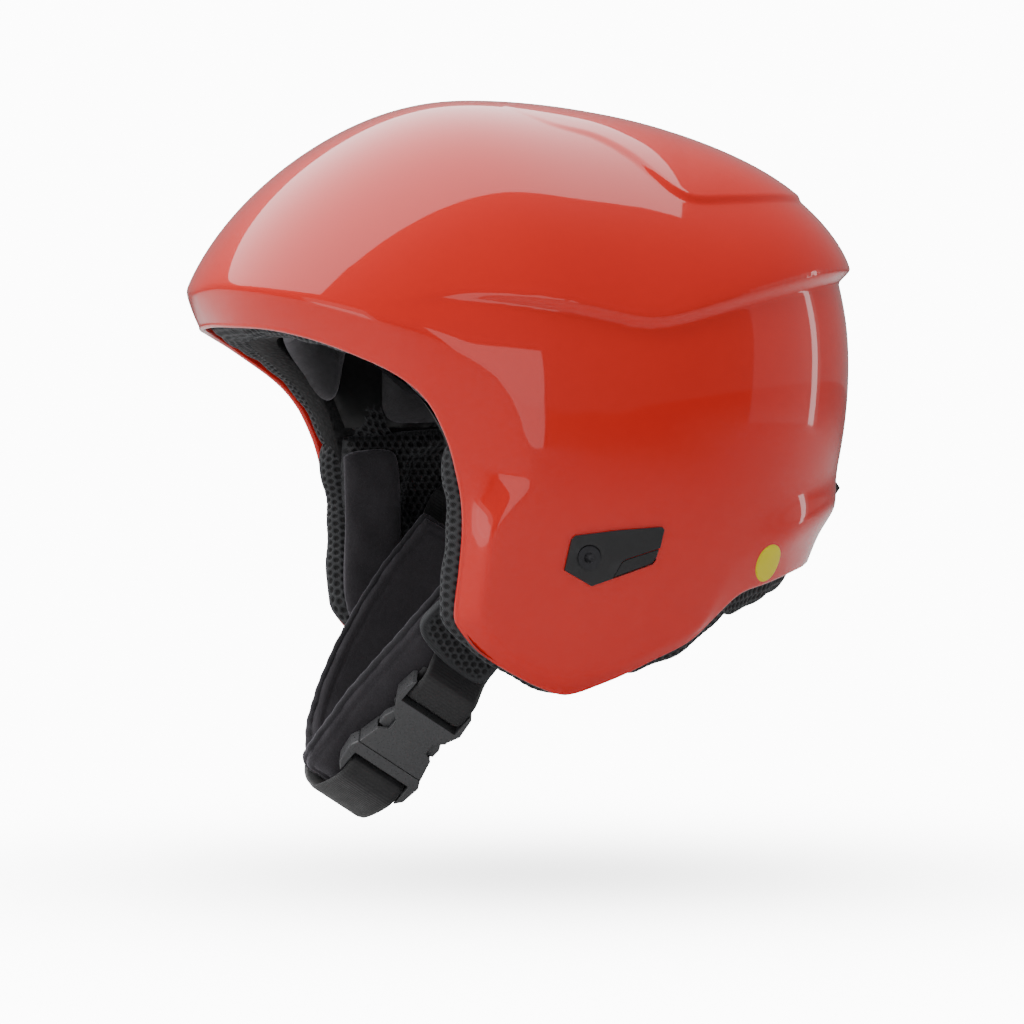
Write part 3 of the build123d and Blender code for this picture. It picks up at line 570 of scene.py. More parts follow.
def plastic_mat(name, base, rough=0.42, grain=1.0, edge=0.15):
    k = Nodes(name)
    n1 = k.noise(900.0, 4.0, 0.6)
    n2 = k.noise(45.0, 3.0)
    n3 = k.noise(5200.0, 1.0)
    col = k.mix(n2, tuple(0.85 * c for c in base), tuple(1.2 * c for c in base))
    geo = k.n("ShaderNodeNewGeometry")
    # lighter colour on sharp convex edges, driven by pointiness
    convex_edge_lightening = k.ramp(geo.outputs["Pointiness"], [(0.5, (0, 0, 0)), (0.62, (1, 1, 1))])
    col = k.mix(k.math("MULTIPLY", convex_edge_lightening, edge), col, tuple(min(1, 3.0 * c + 0.02) for c in base))
    nb = k.bump(n1, 0.10 * grain, 0.0004)
    nb = k.bump(n3, 0.12 * grain, 0.0001, nb)
    k.set(Base_Color=col, Roughness=k.ramp(n1, [(0.3, (rough - 0.06,) * 3), (0.7, (rough + 0.08,) * 3)]), Normal=nb,
          Specular_IOR_Level=0.5)
    return k.m


def metal_mat(name, base, rough):
    k = Nodes(name)
    n1 = k.noise(700.0, 4.0, 0.7)
    col = k.mix(n1, tuple(0.8 * c for c in base), tuple(1.15 * c for c in base))
    k.set(Base_Color=col, Metallic=1.0, Roughness=k.ramp(n1, [(0.3, (rough,) * 3), (0.8, (rough + 0.18,) * 3)]),
          Normal=k.bump(n1, 0.12, 0.0002))
    return k.m


def foam_mat(name, base):
    k = Nodes(name)
    v = k.n("ShaderNodeTexVoronoi", feature="F1")
    v.inputs["Scale"].default_value = 430.0
    k.link(k.obj(), v.inputs["Vector"])
    col = k.mix(v.outputs["Distance"], tuple(1.3 * c for c in base), tuple(0.5 * c for c in base))
    k.set(Base_Color=col, Roughness=0.75, Normal=k.bump(v.outputs["Distance"], 0.5, 0.0008), Specular_IOR_Level=0.3)
    return k.m


def sticker_mat():
    k = Nodes("plain_yellow_sticker")
    n1 = k.noise(800.0, 3.0)
    n2 = k.noise(60.0, 2.0)
    k.set(Base_Color=k.mix(n2, (0.86, 0.74, 0.004), (0.90, 0.78, 0.006)),
          Roughness=k.ramp(n1, [(0.3, (0.3,) * 3), (0.7, (0.38,) * 3)]), Normal=k.bump(n1, 0.06, 0.0002),
          Coat_Weight=0.15, Coat_Roughness=0.2, Specular_IOR_Level=0.25)
    return k.m


M_PAINT = paint_mat()
# the third colour of each knit is the near-black painted shade inside its holes
M_KNIT = knit_mat("spacer_knit", (0.036, 0.038, 0.041), (0.0035, 0.0035, 0.004))
M_KNIT_DARK = knit_mat("spacer_knit_deep", (0.040, 0.041, 0.044), (0.002, 0.002, 0.002))
M_PLUSH = plush_mat("black_plush", (0.042, 0.0395, 0.044))
M_PLUSH_EDGE = plush_mat("plush_binding", (0.030, 0.029, 0.032), 0.55)
M_LINING = plush_mat("comfort_knit", (0.050, 0.049, 0.052), 0.5)
M_WEB = web_mat("ribbed_webbing", (0.0105, 0.0105, 0.0115))
M_BUCKLE = plastic_mat("satin_acetal", (0.066, 0.067, 0.070), 0.30, 1.0, 0.2)
M_COVER = plastic_mat("cover_plastic", (0.014, 0.0145, 0.016), 0.40)
M_INSERT = plastic_mat("cover_insert_plastic", (0.016, 0.0165, 0.018), 0.46, 2.0)
M_ELASTIC = web_mat("retainer_elastic", (0.010, 0.010, 0.011))
M_BLACK_STEEL = metal_mat("black_zinc", (0.06, 0.06, 0.065), 0.34)
M_STEEL = metal_mat("plain_steel", (0.55, 0.55, 0.56), 0.3)
M_FOAM = foam_mat("bead_foam", (0.016, 0.016, 0.017))
M_SLIP = plastic_mat("slip_sheet", (0.012, 0.012, 0.013), 0.35)
M_RUBBER = plastic_mat("tether_rubber", (0.03, 0.03, 0.03), 0.6)
M_LABEL = sticker_mat()


# ---------------------------------------------------------------- outer shell
def shell_mesh():
    us = np.arange(-90.25, 90.5, 0.5)
    q, faces, lines = clip_grid(us, us, [lambda v: 90 - np.hypot(v[:, 0], v[:, 1]), lambda v: shell_point(v)[1]])
    chi = np.hypot(q[:, 0], q[:, 1])
    near = chi > 89.97
    q[near] *= (90 / chi[near])[:, None]
    p, _ = shell_point(q)
    p[near, 0] = 0.0
    return q, p, faces


q_sh, p_sh, f_sh = shell_mesh()


def frame_at(q):
    """True outward normal of the shell at chart points."""
    e = 0.12
    inward = q * (1 - 0.0)
    a, _ = shell_point(inward + [e, 0])
    b, _ = shell_point(inward - [e, 0])
    c, _ = shell_point(inward + [0, e])
    d, _ = shell_point(inward - [0, e])
    n = np.cross(a - b, c - d)
    n /= np.linalg.norm(n, axis=1)[:, None] + 1e-12
    base = surf_normal(chart_point(q, OUT_A, OUT_R), OUT_A, OUT_R)
    return n * np.sign((n * base).sum(1))[:, None]


if np.sum(np.cross(p_sh[f_sh[len(f_sh) // 2][1]] - p_sh[f_sh[len(f_sh) // 2][0]],
                   p_sh[f_sh[len(f_sh) // 2][2]] - p_sh[f_sh[len(f_sh) // 2][0]])
          * p_sh[f_sh[len(f_sh) // 2][0]]) < 0:
    f_sh = [tuple(f[::-1]) for f in f_sh]

rim_pos, _ = shell_point(rim_chart)
rim_n = surf_normal(rim_3d, OUT_A, OUT_R)
rim_n[[0, -1], 0] = 0
RN = len(rim_pos)


def smooth_rows(a, k):
    """Running mean along a curve whose ends lie on the midplane."""
    m = np.vstack([a[k:0:-1] * [-1, 1, 1], a, a[-2:-k - 2:-1] * [-1, 1, 1]])
    ker = np.hanning(2 * k + 3)[1:-1]
    ker /= ker.sum()
    return np.stack([np.convolve(m[:, j], ker, mode="valid") for j in range(3)], -1)


rim_t = smooth_rows(np.gradient(rim_pos, axis=0) * [1, 1, 1], 6)
rim_t[[0, -1], 1:] *= 1.0
rim_t /= np.linalg.norm(rim_t, axis=1)[:, None]
rim_e = np.cross(rim_n, rim_t)
rim_e /= np.linalg.norm(rim_e, axis=1)[:, None]
_mid = RN // 2
if (rim_e[_mid] * (np.array([60.0, 0.0, 0.0]) - rim_pos[_mid]))[2] < 0:
    rim_e = -rim_e                                  # points into the helmet, along the wall
rim_e = smooth_rows(rim_e, 14)
rim_e /= np.linalg.norm(rim_e, axis=1)[:, None]
rim_m = smooth_rows(-rim_n, 10)
rim_m /= np.linalg.norm(rim_m, axis=1)[:, None]

# lip and inner return, added to the boundary of the clipped shell
edges = [e for e in boundary(f_sh) if not (abs(p_sh[e[0], 0]) < 1e-6 and abs(p_sh[e[1], 0]) < 1e-6)]
ring = sorted({v for e in edges for v in e})
ring_id = {v: k for k, v in enumerate(ring)}
rq = q_sh[ring]
rp = p_sh[ring]
rn = frame_at(rq * (1 - 1e-4))
k_near = np.array([((rim_pos - p) ** 2).sum(1).argmin() for p in rp])
re = rim_e[k_near] - rn * (rim_e[k_near] * rn).sum(1)[:, None]
re /= np.linalg.norm(re, axis=1)[:, None]
on_mid = np.abs(rp[:, 0]) < 1e-6
for arr in (rn, re):
    arr[on_mid, 0] = 0
    arr /= np.linalg.norm(arr, axis=1)[:, None]
TH = 3.0
rows = []
for a in np.radians([18, 40, 65, 90, 115, 140, 162, 180]):
    rows.append(rp - re * (TH / 2) * math.sin(a) * 0.9 - rn * (TH / 2) * (1 - math.cos(a)))
rb = rim_e[k_near]
bn = rim_n[k_near].copy()
bn[on_mid, 0] = 0
rb = rb.copy()
rb[on_mid, 0] = 0
rb /= np.linalg.norm(rb, axis=1)[:, None]
for s in (3, 7, 12, 18):
    rows.append(rp - rn * TH * 0.9 - bn * 0.3 + rb * s - bn * 0.05 * s)
verts = np.vstack([p_sh] + rows)
faces = list(f_sh)
nr = len(ring)
for k in range(len(rows)):
    for a, b in edges:
        i, j = ring_id[a], ring_id[b]
        top = (a, b) if k == 0 else (len(p_sh) + (k - 1) * nr + i, len(p_sh) + (k - 1) * nr + j)
        bot = (len(p_sh) + k * nr + i, len(p_sh) + k * nr + j)
        faces.append((top[1], top[0], bot[0], bot[1]))
sv, sf = mirrored(verts, faces)
shell = make("shell_skin", sv, sf, M_PAINT, "helmet")
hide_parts("outer_shell")

# ---------------------------------------------------------------- side-view outline of the rim (signed distance, + inside)
SIDE = [tuple(v) for v in rim_3d[::4, 1:]] + [(170, -66.6), (170, 175), (-175, 175), (-175, 33)]


def rim_depth(p):
    return sd_poly(p[:, 1:], SIDE)


def cavity_mesh(level, step, inset, body, name, mat, slot, rep=None, span=None, knit=0.0, pad=None, both=True):
    """A patch of the head cavity: level(p) in mm is + inside the patch, inset(p, s) gives its depth off the foam."""
    us = np.arange(-90 - step / 2, 90 + step, step)

    def lv(v):
        return level(chart_point(v, CAV_A, CAV_R))

    q, f, _ = clip_grid(us, us, [lambda v: 90 - np.hypot(v[:, 0], v[:, 1]), lv])
    chi = np.hypot(q[:, 0], q[:, 1])
    near = chi > 89.9
    q[near] *= (90 / chi[near])[:, None]
    p0 = chart_point(q, CAV_A, CAV_R)
    s = level(p0)
    d = inset(p0, s)
    n = surf_normal(p0, CAV_A, CAV_R)
    p = p0 - n * d[:, None]
    p[near, 0] = 0
    a = f[len(f) // 2]
    if np.dot(np.cross(p[a[1]] - p[a[0]], p[a[2]] - p[a[0]]), n[a[0]]) > 0:
        f = [tuple(x[::-1]) for x in f]
    hole = np.zeros(len(p))
    return p, f, hole


def cavity_patch(name, level, lo, hi, r, mat, body, slot, rep=None, step=1.3, wave=0.0, seams=None):
    def inset(p, s):
        d = lo + (hi - lo) * dome(s, r)
        if seams is not None:
            d = d - seams(p) * np.clip(s / 6, 0, 1)
        if wave:
            d = d + wave * np.clip(s / 8, 0, 1) * (np.sin(p[:, 0] * 0.21 + 1.0) * np.sin(p[:, 1] * 0.17) + 0.5 * np.sin(p[:, 2] * 0.33 + p[:, 0] * 0.12))
        return d

    p, f, _ = cavity_mesh(level, step, inset, body, name, mat, slot)
    # boundary edges off the midplane; no side wall is built from them
    on = [e for e in boundary(f) if not (abs(p[e[0], 0]) < 1e-6 and abs(p[e[1], 0]) < 1e-6)]
    v2, f2 = mirrored(p, f)
    ob = make(name, v2, f2, mat, body)
    if rep:
        for node in ([rep] if isinstance(rep, str) else rep):
            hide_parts(node)
    return ob


SLIP_LINE = [(-160, 50), (-130, 47), (-108, 40), (-90, 30), (-73, 16), (-61, 2), (-54, -11), (170, -11), (170, 160), (-160, 160)]


def slip_in(p):
    return sd_poly(p[:, 1:], SLIP_LINE)


# foam: the whole cavity wall
foam_p, foam_f, _ = cavity_mesh(lambda p: rim_depth(p) - 5.5, 1.5, lambda p, s: 0.0 * s, "helmet", "", None, "")
fe = [e for e in boundary(foam_f) if not (abs(foam_p[e[0], 0]) < 1e-6 and abs(foam_p[e[1], 0]) < 1e-6)]
fring = sorted({v for e in fe for v in e})
fid = {v: k for k, v in enumerate(fring)}
fn = surf_normal(foam_p[fring], CAV_A, CAV_R)
fn[np.abs(foam_p[fring, 0]) < 1e-6, 0] = 0
back = foam_p[fring] + fn * np.interp(foam_p[fring][:, 2], [-60, 10], [6.5, 14.0])[:, None]
fv = np.vstack([foam_p, back])
ff = list(foam_f) + [(b, a, len(foam_p) + fid[a], len(foam_p) + fid[b]) for a, b in fe]
fv, ff = mirrored(fv, ff)
foam = make("foam_cavity", fv, ff, M_FOAM, "helmet")
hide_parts("eps_liner")

slip = cavity_patch("slip_sheet", slip_in, 1.6, 2.3, 1.0, M_SLIP, "slip_liner", "slip_film", rep="slip_liner")


def smin(*v):
    """Rounded minimum of several distances."""
    out = v[0]
    for w in v[1:]:
        h = np.clip(0.5 + 0.5 * (w - out) / 10.0, 0, 1)
        out = w * (1 - h) + out * h - 10.0 * h * (1 - h)
    return out


def groove(d, width=1.6, depth=1.8):
    return depth * np.exp(-(d / width) ** 2)


brow_pad = cavity_patch("forehead_pad", lambda p: smin(72 - np.abs(p[:, 0]), -40 - p[:, 1], 66 - p[:, 2], slip_in(p) + 7),
                        2.4, 8.6, 7, M_LINING, "slip_liner", "comfort_textile", rep="brow_pad", step=0.9, wave=0.45,
                        seams=lambda p: groove(np.abs(p[:, 0]) - 34) + groove(slip_in(p) - 9, 1.3, 1.4))
crown = cavity_patch("crown_cushion", lambda p: smin(27 - np.abs(p[:, 0]), p[:, 1] + 48, 52 - p[:, 1], p[:, 2] - 60),
                     2.4, 8.6, 7, M_LINING, "slip_liner", "comfort_textile", rep="crown_pad", step=1.0, wave=0.35,
                     seams=lambda p: groove(p[:, 0] * 1.0))
sides = cavity_patch("side_cushions", lambda p: smin(np.abs(p[:, 0]) - 50, p[:, 1] + 37, 47 - p[:, 1], p[:, 2] + 9, 47 - p[:, 2]),
                     2.4, 8.6, 7, M_LINING, "slip_liner", "comfort_textile", rep="side_pads", step=1.0, wave=0.35,
                     seams=lambda p: groove(p[:, 1] - 1))
rear = cavity_patch("nape_cushion", lambda p: smin(53 - np.abs(p[:, 0]), p[:, 1] - 51, p[:, 2] + 10, 36 - p[:, 2]),
                    2.4, 8.6, 7, M_LINING, "slip_liner", "comfort_textile", rep="rear_pad", step=1.0, wave=0.35,
                    seams=lambda p: groove(np.abs(p[:, 0]) - 22))


# ---------------------------------------------------------------- padded edge along the rim
def edge_roll(name, i0, i1, section, mat, rep, seed=0.0, mirror=True, cap0=False, cap1=False, du=0.55, dv=0.55,
              hole_depth=0.75, scale=None, pitch=3.4, lay=1.0, bscale=None):
    """A soft section (inward from the wall, into the helmet) carried along the rim from fraction i0 to i1."""
    seg = np.arange(int(i0 * (RN - 1)), int(i1 * (RN - 1)) + 1)
    P, Mv, Ev, Tv = rim_pos[seg], rim_m[seg], rim_e[seg], rim_t[seg]
    s = np.concatenate([[0], np.cumsum(np.linalg.norm(np.diff(P, axis=0), axis=1))])
    n = max(8, int(s[-1] / du))
    w = np.linspace(0, s[-1], n)
    rs = lambda a: np.stack([np.interp(w, s, a[:, k]) for k in range(3)], -1)
    P, Mv, Ev = rs(P), rs(Mv), rs(Ev)
    frac = np.interp(w, s, seg / (RN - 1))
    base = catmull(section, dv)
    L = np.concatenate([[0], np.cumsum(np.linalg.norm(np.diff(base, axis=0), axis=1))])
    k = np.ones(n) if scale is None else scale(frac)
    end = np.minimum(w, w[-1] - w)
    taper = np.ones(n)
    if cap0:
        taper = np.minimum(taper, 0.25 + 0.75 * dome(w, 9))
    if cap1:
        taper = np.minimum(taper, 0.25 + 0.75 * dome(w[-1] - w, 9))
    mb = base[None, :, :] * np.stack([k, np.ones(n)], -1)[:, None, :]
    if bscale is not None:
        kb = bscale(frac)[:, None]
        mb[..., 1] = np.where(mb[..., 1] < 0, mb[..., 1] * kb, mb[..., 1])
    # ends pull into the helmet
    mb[..., 1] += (1 - taper)[:, None] * 8
    nu, nv = n, len(base)
    pos = P[:, None, :] + Mv[:, None, :] * mb[..., 0:1] + Ev[:, None, :] * mb[..., 1:2]
    tu = np.gradient(pos, axis=0)
    tv = np.gradient(pos, axis=1)
    nn = np.cross(tu, tv)
    nn /= np.linalg.norm(nn, axis=2)[..., None] + 1e-9
    outward = (nn * -Ev[:, None, :]).sum(2).mean()
    flip = outward < 0
    if flip:
        nn = -nn
    # knit: open holes plus low folds
    ww, ll = np.meshgrid(w, L, indexing="ij")
    hole = hexhole(ww + 0.25 * np.sin(ll * 0.5), ll + seed, pitch)
    fold = 0.45 * np.sin(ww * 0.11 + seed) * np.sin(ll * 0.22) + 0.3 * np.sin(ww * 0.31 + 2 * seed)
    pos = pos + nn * (lay * fold - hole_depth * hole)[..., None]
    v = pos.reshape(-1, 3)
    f = grid_faces(nu, nv)
    if flip:
        f = [tuple(x[::-1]) for x in f]
    h = hole.ravel()
    v[np.abs(v[:, 0]) < 0.3, 0] *= 1.0
    if mirror:
        v, f, h = mirrored(v, f, h)
    ob = make(name, v, f, mat, "helmet", values={"hole": h})
    for node in ([rep] if isinstance(rep, str) else (rep or [])):
        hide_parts(node)
    return ob


def rim_frac(y, z):
    return float(((rim_pos[:, 1] - y) ** 2 + (rim_pos[:, 2] - z) ** 2).argmin()) / (RN - 1)


F_TEMPLE = rim_frac(-61.5, -21)
F_BROW = rim_frac(-60.5, -24)
F_EAR0 = rim_frac(-62, -18)
F_EAR1 = rim_frac(47.5, -91.5)
F_NECK = rim_frac(12, -109)
F_CORNER = rim_frac(-54, -94)

brow_edge = edge_roll("brow_edge", 0.0, F_BROW, [(3.2, 3.0), (4.6, 0.2), (9, -1.4), (14, -0.6), (20, 3), (26, 8), (30, 14), (30.5, 21)],
                      M_KNIT, "brow_liner", 0.3, cap1=True,
                      scale=lambda f: np.interp(f, [0, 0.12, 0.24, F_BROW], [1.35, 1.2, 0.98, 0.86]))
ear_edge = edge_roll("cheek_edge", F_EAR0, F_EAR1, [(3.2, 4.0), (4.2, -0.6), (7.5, -2.6), (12.5, -2.9), (18, -1.0), (22.5, 3.5), (24, 10), (24, 15)],
                     M_KNIT, None, 1.7, cap0=True, cap1=True,
                     scale=lambda f: 1.0 + 0 * f,
                     bscale=lambda f: np.interp(f, [F_EAR0, F_EAR0 + 0.03, F_CORNER - 0.02, F_CORNER + 0.03, F_EAR1], [1.6, 2.3, 2.3, 1.5, 1.0]))
neck_edge = edge_roll("nape_edge", F_NECK, 1.0, [(5.0, 4.0), (6.0, -4.0), (9, -9.5), (14, -11.5), (19, -8.0), (23, 0.5), (24, 8), (24, 14)],
                      M_KNIT, "neck_roll", 2.9, cap0=True,
                      scale=lambda f: np.interp(f, [F_NECK, 1.0], [0.95, 1.15]), bscale=lambda f: np.interp(f, [F_NECK, F_NECK + 0.05, F_NECK + 0.12, 0.9, 1.0], [0.6, 0.95, 1.3, 1.3, 0.8]))


# ---------------------------------------------------------------- ear pads
EAR_SHAPE = [(-55, -14), (-53.5, -60), (-53.8, -86), (-48, -98), (-30, -108.5), (-10, -115.5), (10, -107.5), (36, -96), (46, -87),
             (51, -72), (51, -30), (42, -14)]
POCKET = [(-28, -44), (-24, -24), (-10, -18.5), (20, -18.5), (37, -26), (41, -42), (37, -62), (20, -74), (2, -73), (-16, -65)]


def ear_slab():
    poly = catmull(EAR_SHAPE + EAR_SHAPE[:1], 2.0)
    us = np.arange(-60, 60, 0.75)
    vs = np.arange(-120, -8, 0.75)
    q, f, lines = clip_grid(us, vs, [lambda v: sd_poly(v, poly)])
    s = sd_poly(q, poly)
    pk = sd_poly(q, POCKET)
    x = 74.7 + 8.5 * (1 - dome(s, 8)) + 8.0 * sstep(pk, -2.5, 4.0)
    x += 0.5 * np.sin(q[:, 0] * 0.13 + 1) * np.sin(q[:, 1] * 0.11)
    # seam between the front border and the body of the pad
    x += 1.3 * np.exp(-(sd_poly(q, [(v[0], v[1]) for v in POCKET]) + 5.5) ** 2 / 1.6)
    hole = hexhole(q[:, 0], q[:, 1] + 0.6) * np.clip(s / 3, 0, 1)
    x += 0.75 * hole
    v = np.stack([x, q[:, 0], q[:, 1]], -1)
    # wall back to the foam
    bnd = boundary(f)
    ids = sorted({a for e in bnd for a in e})
    idm = {a: k for k, a in enumerate(ids)}
    wall = v[ids] + [7.0, 0, 0]
    base = len(v)
    a = f[0]
    faces = [tuple(z[::-1]) for z in f] if np.cross(v[a[1]] - v[a[0]], v[a[2]] - v[a[0]])[0] > 0 else list(f)
    bnd = boundary(faces)
    faces += [(e[1], e[0], base + idm[e[0]], base + idm[e[1]]) for e in bnd]
    return np.vstack([v, wall]), faces, np.concatenate([hole, np.zeros(len(ids))])


ev, ef, eh = ear_slab()
for side, sx in (("left", 1), ("right", -1)):
    ob = make(f"ear_surround_{side}", ev * [sx, 1, 1], ef if sx > 0 else [tuple(x[::-1]) for x in ef], M_KNIT_DARK, "helmet",
              values={"hole": eh})
    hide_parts(f"ear_pad_{side}")


def pillow(name, outline, to3d, half, r, step, mat, body, rep, x_sign=1, bulge=0.0, wave=0.3, edge=0.0):
    """A stuffed panel: outline in panel coordinates, to3d(q, n) lifts panel point q by n mm along the panel's normal."""
    poly = np.array(outline, float)
    lo, hi = poly.min(0), poly.max(0)
    us = np.arange(lo[0] - step, hi[0] + 2 * step, step)
    vs = np.arange(lo[1] - step, hi[1] + 2 * step, step)
    q, f, lines = clip_grid(us, vs, [lambda v: sd_poly(v, poly)])
    s = sd_poly(q, poly)
    rim = np.zeros(len(q), bool)
    rim[lines[0]] = True
    h = half * dome(s, r) * (1 + bulge * np.clip(s / (3 * r), 0, 1))
    wv = wave * np.clip(s / 5, 0, 1) * (np.sin(q[:, 0] * 0.31 + 0.7) * np.sin(q[:, 1] * 0.27 + 1.1) + 0.5 * np.sin(q[:, 0] * 0.11 + q[:, 1] * 0.19))
    if edge:
        h = h - edge * np.exp(-((s - 4.2) / 0.9) ** 2)
    h = np.where(rim, 0, np.maximum(h, 0.02))
    top = to3d(q, h + wv * ~rim)
    idx = np.arange(len(q))
    inner = idx[~rim]
    mp = idx.copy()
    mp[~rim] = len(q) + np.arange(len(inner))
    bot = to3d(q, -h + wv * 0.4 * ~rim)[inner]
    v = np.vstack([top, bot])
    faces = list(f) + [tuple(int(mp[i]) for i in x[::-1]) for x in f]
    a = f[len(f) // 2]
    nrm = np.cross(top[a[1]] - top[a[0]], top[a[2]] - top[a[0]])
    lift = (to3d(q[a[:1],], np.array([1.0])) - to3d(q[a[:1],], np.array([0.0])))[0]
    if np.dot(nrm, lift) < 0:
        faces = [tuple(x[::-1]) for x in faces]
    ob = make(name, v, faces, mat, body)
    if rep:
        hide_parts(rep)
    return ob, q


CUSHION = [(-55.0, -23.5), (-51, -21.5), (-34, -21), (-31.5, -24), (-31.5, -88), (-35, -93), (-42, -97.5), (-50, -95), (-54.5, -82), (-54.2, -50)]
cush_poly = catmull(CUSHION + CUSHION[:1], 1.2)
for side, sx in (("left", 1), ("right", -1)):
    pillow(f"cheek_cushion_{side}", cush_poly, lambda q, n, sx=sx: np.stack([sx * (74.0 - 1.2 * np.ones(len(q)) - n), q[:, 0], q[:, 1]], -1),
           3.1, 7.0, 1.0, M_PLUSH, "helmet", f"ear_cushion_{side}", bulge=0.1, wave=0.35)

# ---------------------------------------------------------------- chin strap
O = np.array([0.0, 2.5, -36.4])
RAKE = math.radians(33)
ALONG = np.array([0, -math.sin(RAKE), -math.cos(RAKE)])
ACROSS = np.array([0, math.cos(RAKE), -math.sin(RAKE)])
NEAR = [(66.2, 22), (65.6, 50), (61.4, 72), (50.6, 95), (36, 117), (25, 133), (14.5, 143), (3, 148)]
FAR = [(-66.2, 24), (-65.6, 50), (-61.6, 75), (-55, 97), (-44.5, 117), (-33.5, 131), (-21, 141.5), (-12, 146)]
TOP = np.array([56.0, 99.0])
BU = np.array([-0.5504, 0.8349])
BN = np.array([0.8349, 0.5504])


def bk(u, n):
    return tuple(TOP + u * BU + n * BN)


def strap3(xt, w):
    return O + np.stack([xt[:, 0], np.zeros(len(xt)), np.zeros(len(xt))], -1) + xt[:, 1:2] * ALONG + np.asarray(w)[:, None] * ACROSS


class Skin:
    """A smooth curve in the strap's own (X, t) plane with outward normals."""

    def __init__(self, pts, out):
        self.c = catmull(pts, 0.5)
        self.s = np.concatenate([[0], np.cumsum(np.linalg.norm(np.diff(self.c, axis=0), axis=1))])
        t = np.gradient(self.c, axis=0)
        t /= np.linalg.norm(t, axis=1)[:, None]
        self.n = np.stack([t[:, 1], -t[:, 0]], -1)
        if self.n[len(self.n) // 3, 0] * out < 0:
            self.n = -self.n

    def at(self, s, off):
        c = np.stack([np.interp(s, self.s, self.c[:, k]) for k in (0, 1)], -1)
        n = np.stack([np.interp(s, self.s, self.n[:, k]) for k in (0, 1)], -1)
        return c + n * np.asarray(off)[:, None]

    def s_of_t(self, t):
        k = np.argmax(self.c[:, 1])
        return np.interp(t, self.c[:k + 1, 1], self.s[:k + 1])


near_skin, far_skin = Skin(NEAR, 1), Skin(FAR, -1)


def flap(name, skin, outline_tw, inner, outer, mat, rep, wave, edge=0.0, extra=0.0, r=3.4, step=0.9, body="chin_strap"):
    """A padded flap lying on the inside (or outside) of the strap; the outline is given in (t, w)."""
    poly = []
    smax = skin.s[-1] + extra
    for t, w in outline_tw:
        tm = skin.c[:, 1].max()
        s = skin.s_of_t(min(t, tm)) if t <= tm - 0.6 else smax - 1.5 + 0.15 * (t - tm)
        poly.append((min(s, smax), w))
    poly = catmull(poly + poly[:1], 1.2)
    half = abs(outer - inner) / 2
    mid_off = (outer + inner) / 2

    def lift(q, n):
        return strap3(skin.at(q[:, 0], mid_off + n), q[:, 1])

    ob, q = pillow(name, poly, lift, half, r, step, mat, body, rep, wave=wave, edge=edge)
    return ob, poly, lift


def tube(name, pts, radius, mat, body, n=10, closed=False, squash_n=None, values=None, taper=None):
    p = np.asarray(pts)
    t = np.gradient(p, axis=0)
    if closed:
        t = np.roll(p, -1, 0) - np.roll(p, 1, 0)
    t /= np.linalg.norm(t, axis=1)[:, None] + 1e-9
    a = np.cross(t, [1.0, 0.02, 0.03])
    a /= np.linalg.norm(a, axis=1)[:, None] + 1e-9
    b = np.cross(t, a)
    ang = np.linspace(0, 2 * math.pi, n, endpoint=False)
    r = np.full(len(p), float(radius)) if np.isscalar(radius) else np.asarray(radius)
    if taper is not None:
        r = r * taper
    v = p[:, None, :] + r[:, None, None] * (a[:, None, :] * np.cos(ang)[None, :, None] + b[:, None, :] * np.sin(ang)[None, :, None])
    f = grid_faces(len(p), n, wrap_u=closed, wrap_v=True)
    v = v.reshape(-1, 3)
    if not closed:
        f = list(f) + [tuple(range(n))[::-1], tuple((len(p) - 1) * n + k for k in range(n))]
    c = v[f[0][0]] - p[0]
    nrm = np.cross(v[f[0][1]] - v[f[0][0]], v[f[0][2]] - v[f[0][0]])
    if np.dot(nrm, c) < 0:
        f = [tuple(x[::-1]) for x in f]
    ob = make(name, v, f, mat, body)
    return ob


PAD_L = [(22, -17), (60, -24), (95, -26.5), (125, -26), (150, -19), (156, -10), (156, 9), (140, 12.5), (100, 12.5), (60, 11), (22, 9)]
PAD_R = [(24, -14), (60, -18), (110, -18.5), (140, -15), (148, -11), (148, 10), (130, 14), (60, 14), (24, 11)]
flap_l, poly_l, lift_l = flap("chin_flap_left", near_skin, PAD_L, -6.3, -0.3, M_PLUSH, "chin_pad_left", 0.4, edge=0.9)
flap_r, poly_r, lift_r = flap("chin_flap_right", far_skin, PAD_R, -7.0, -0.3, M_PLUSH, "chin_pad_right", 0.5, edge=0.8)
for nm, poly, lift, mid_r in (("left", poly_l, lift_l, 1.75), ("right", poly_r, lift_r, 1.5)):
    ring_pts = lift(poly[:-1], 0.25 * np.sin(np.arange(len(poly) - 1) * 0.35))
    rad = mid_r + 0.12 * np.sin(np.arange(len(ring_pts)) * 0.9)
    tb = tube(f"flap_binding_{nm}", ring_pts, rad, M_PLUSH_EDGE, "chin_strap", n=12, closed=True)
MESH_PATCH = [(26, -14), (60, -22), (79, -24.5), (84, -16), (85, 10), (60, 10.5), (26, 8)]


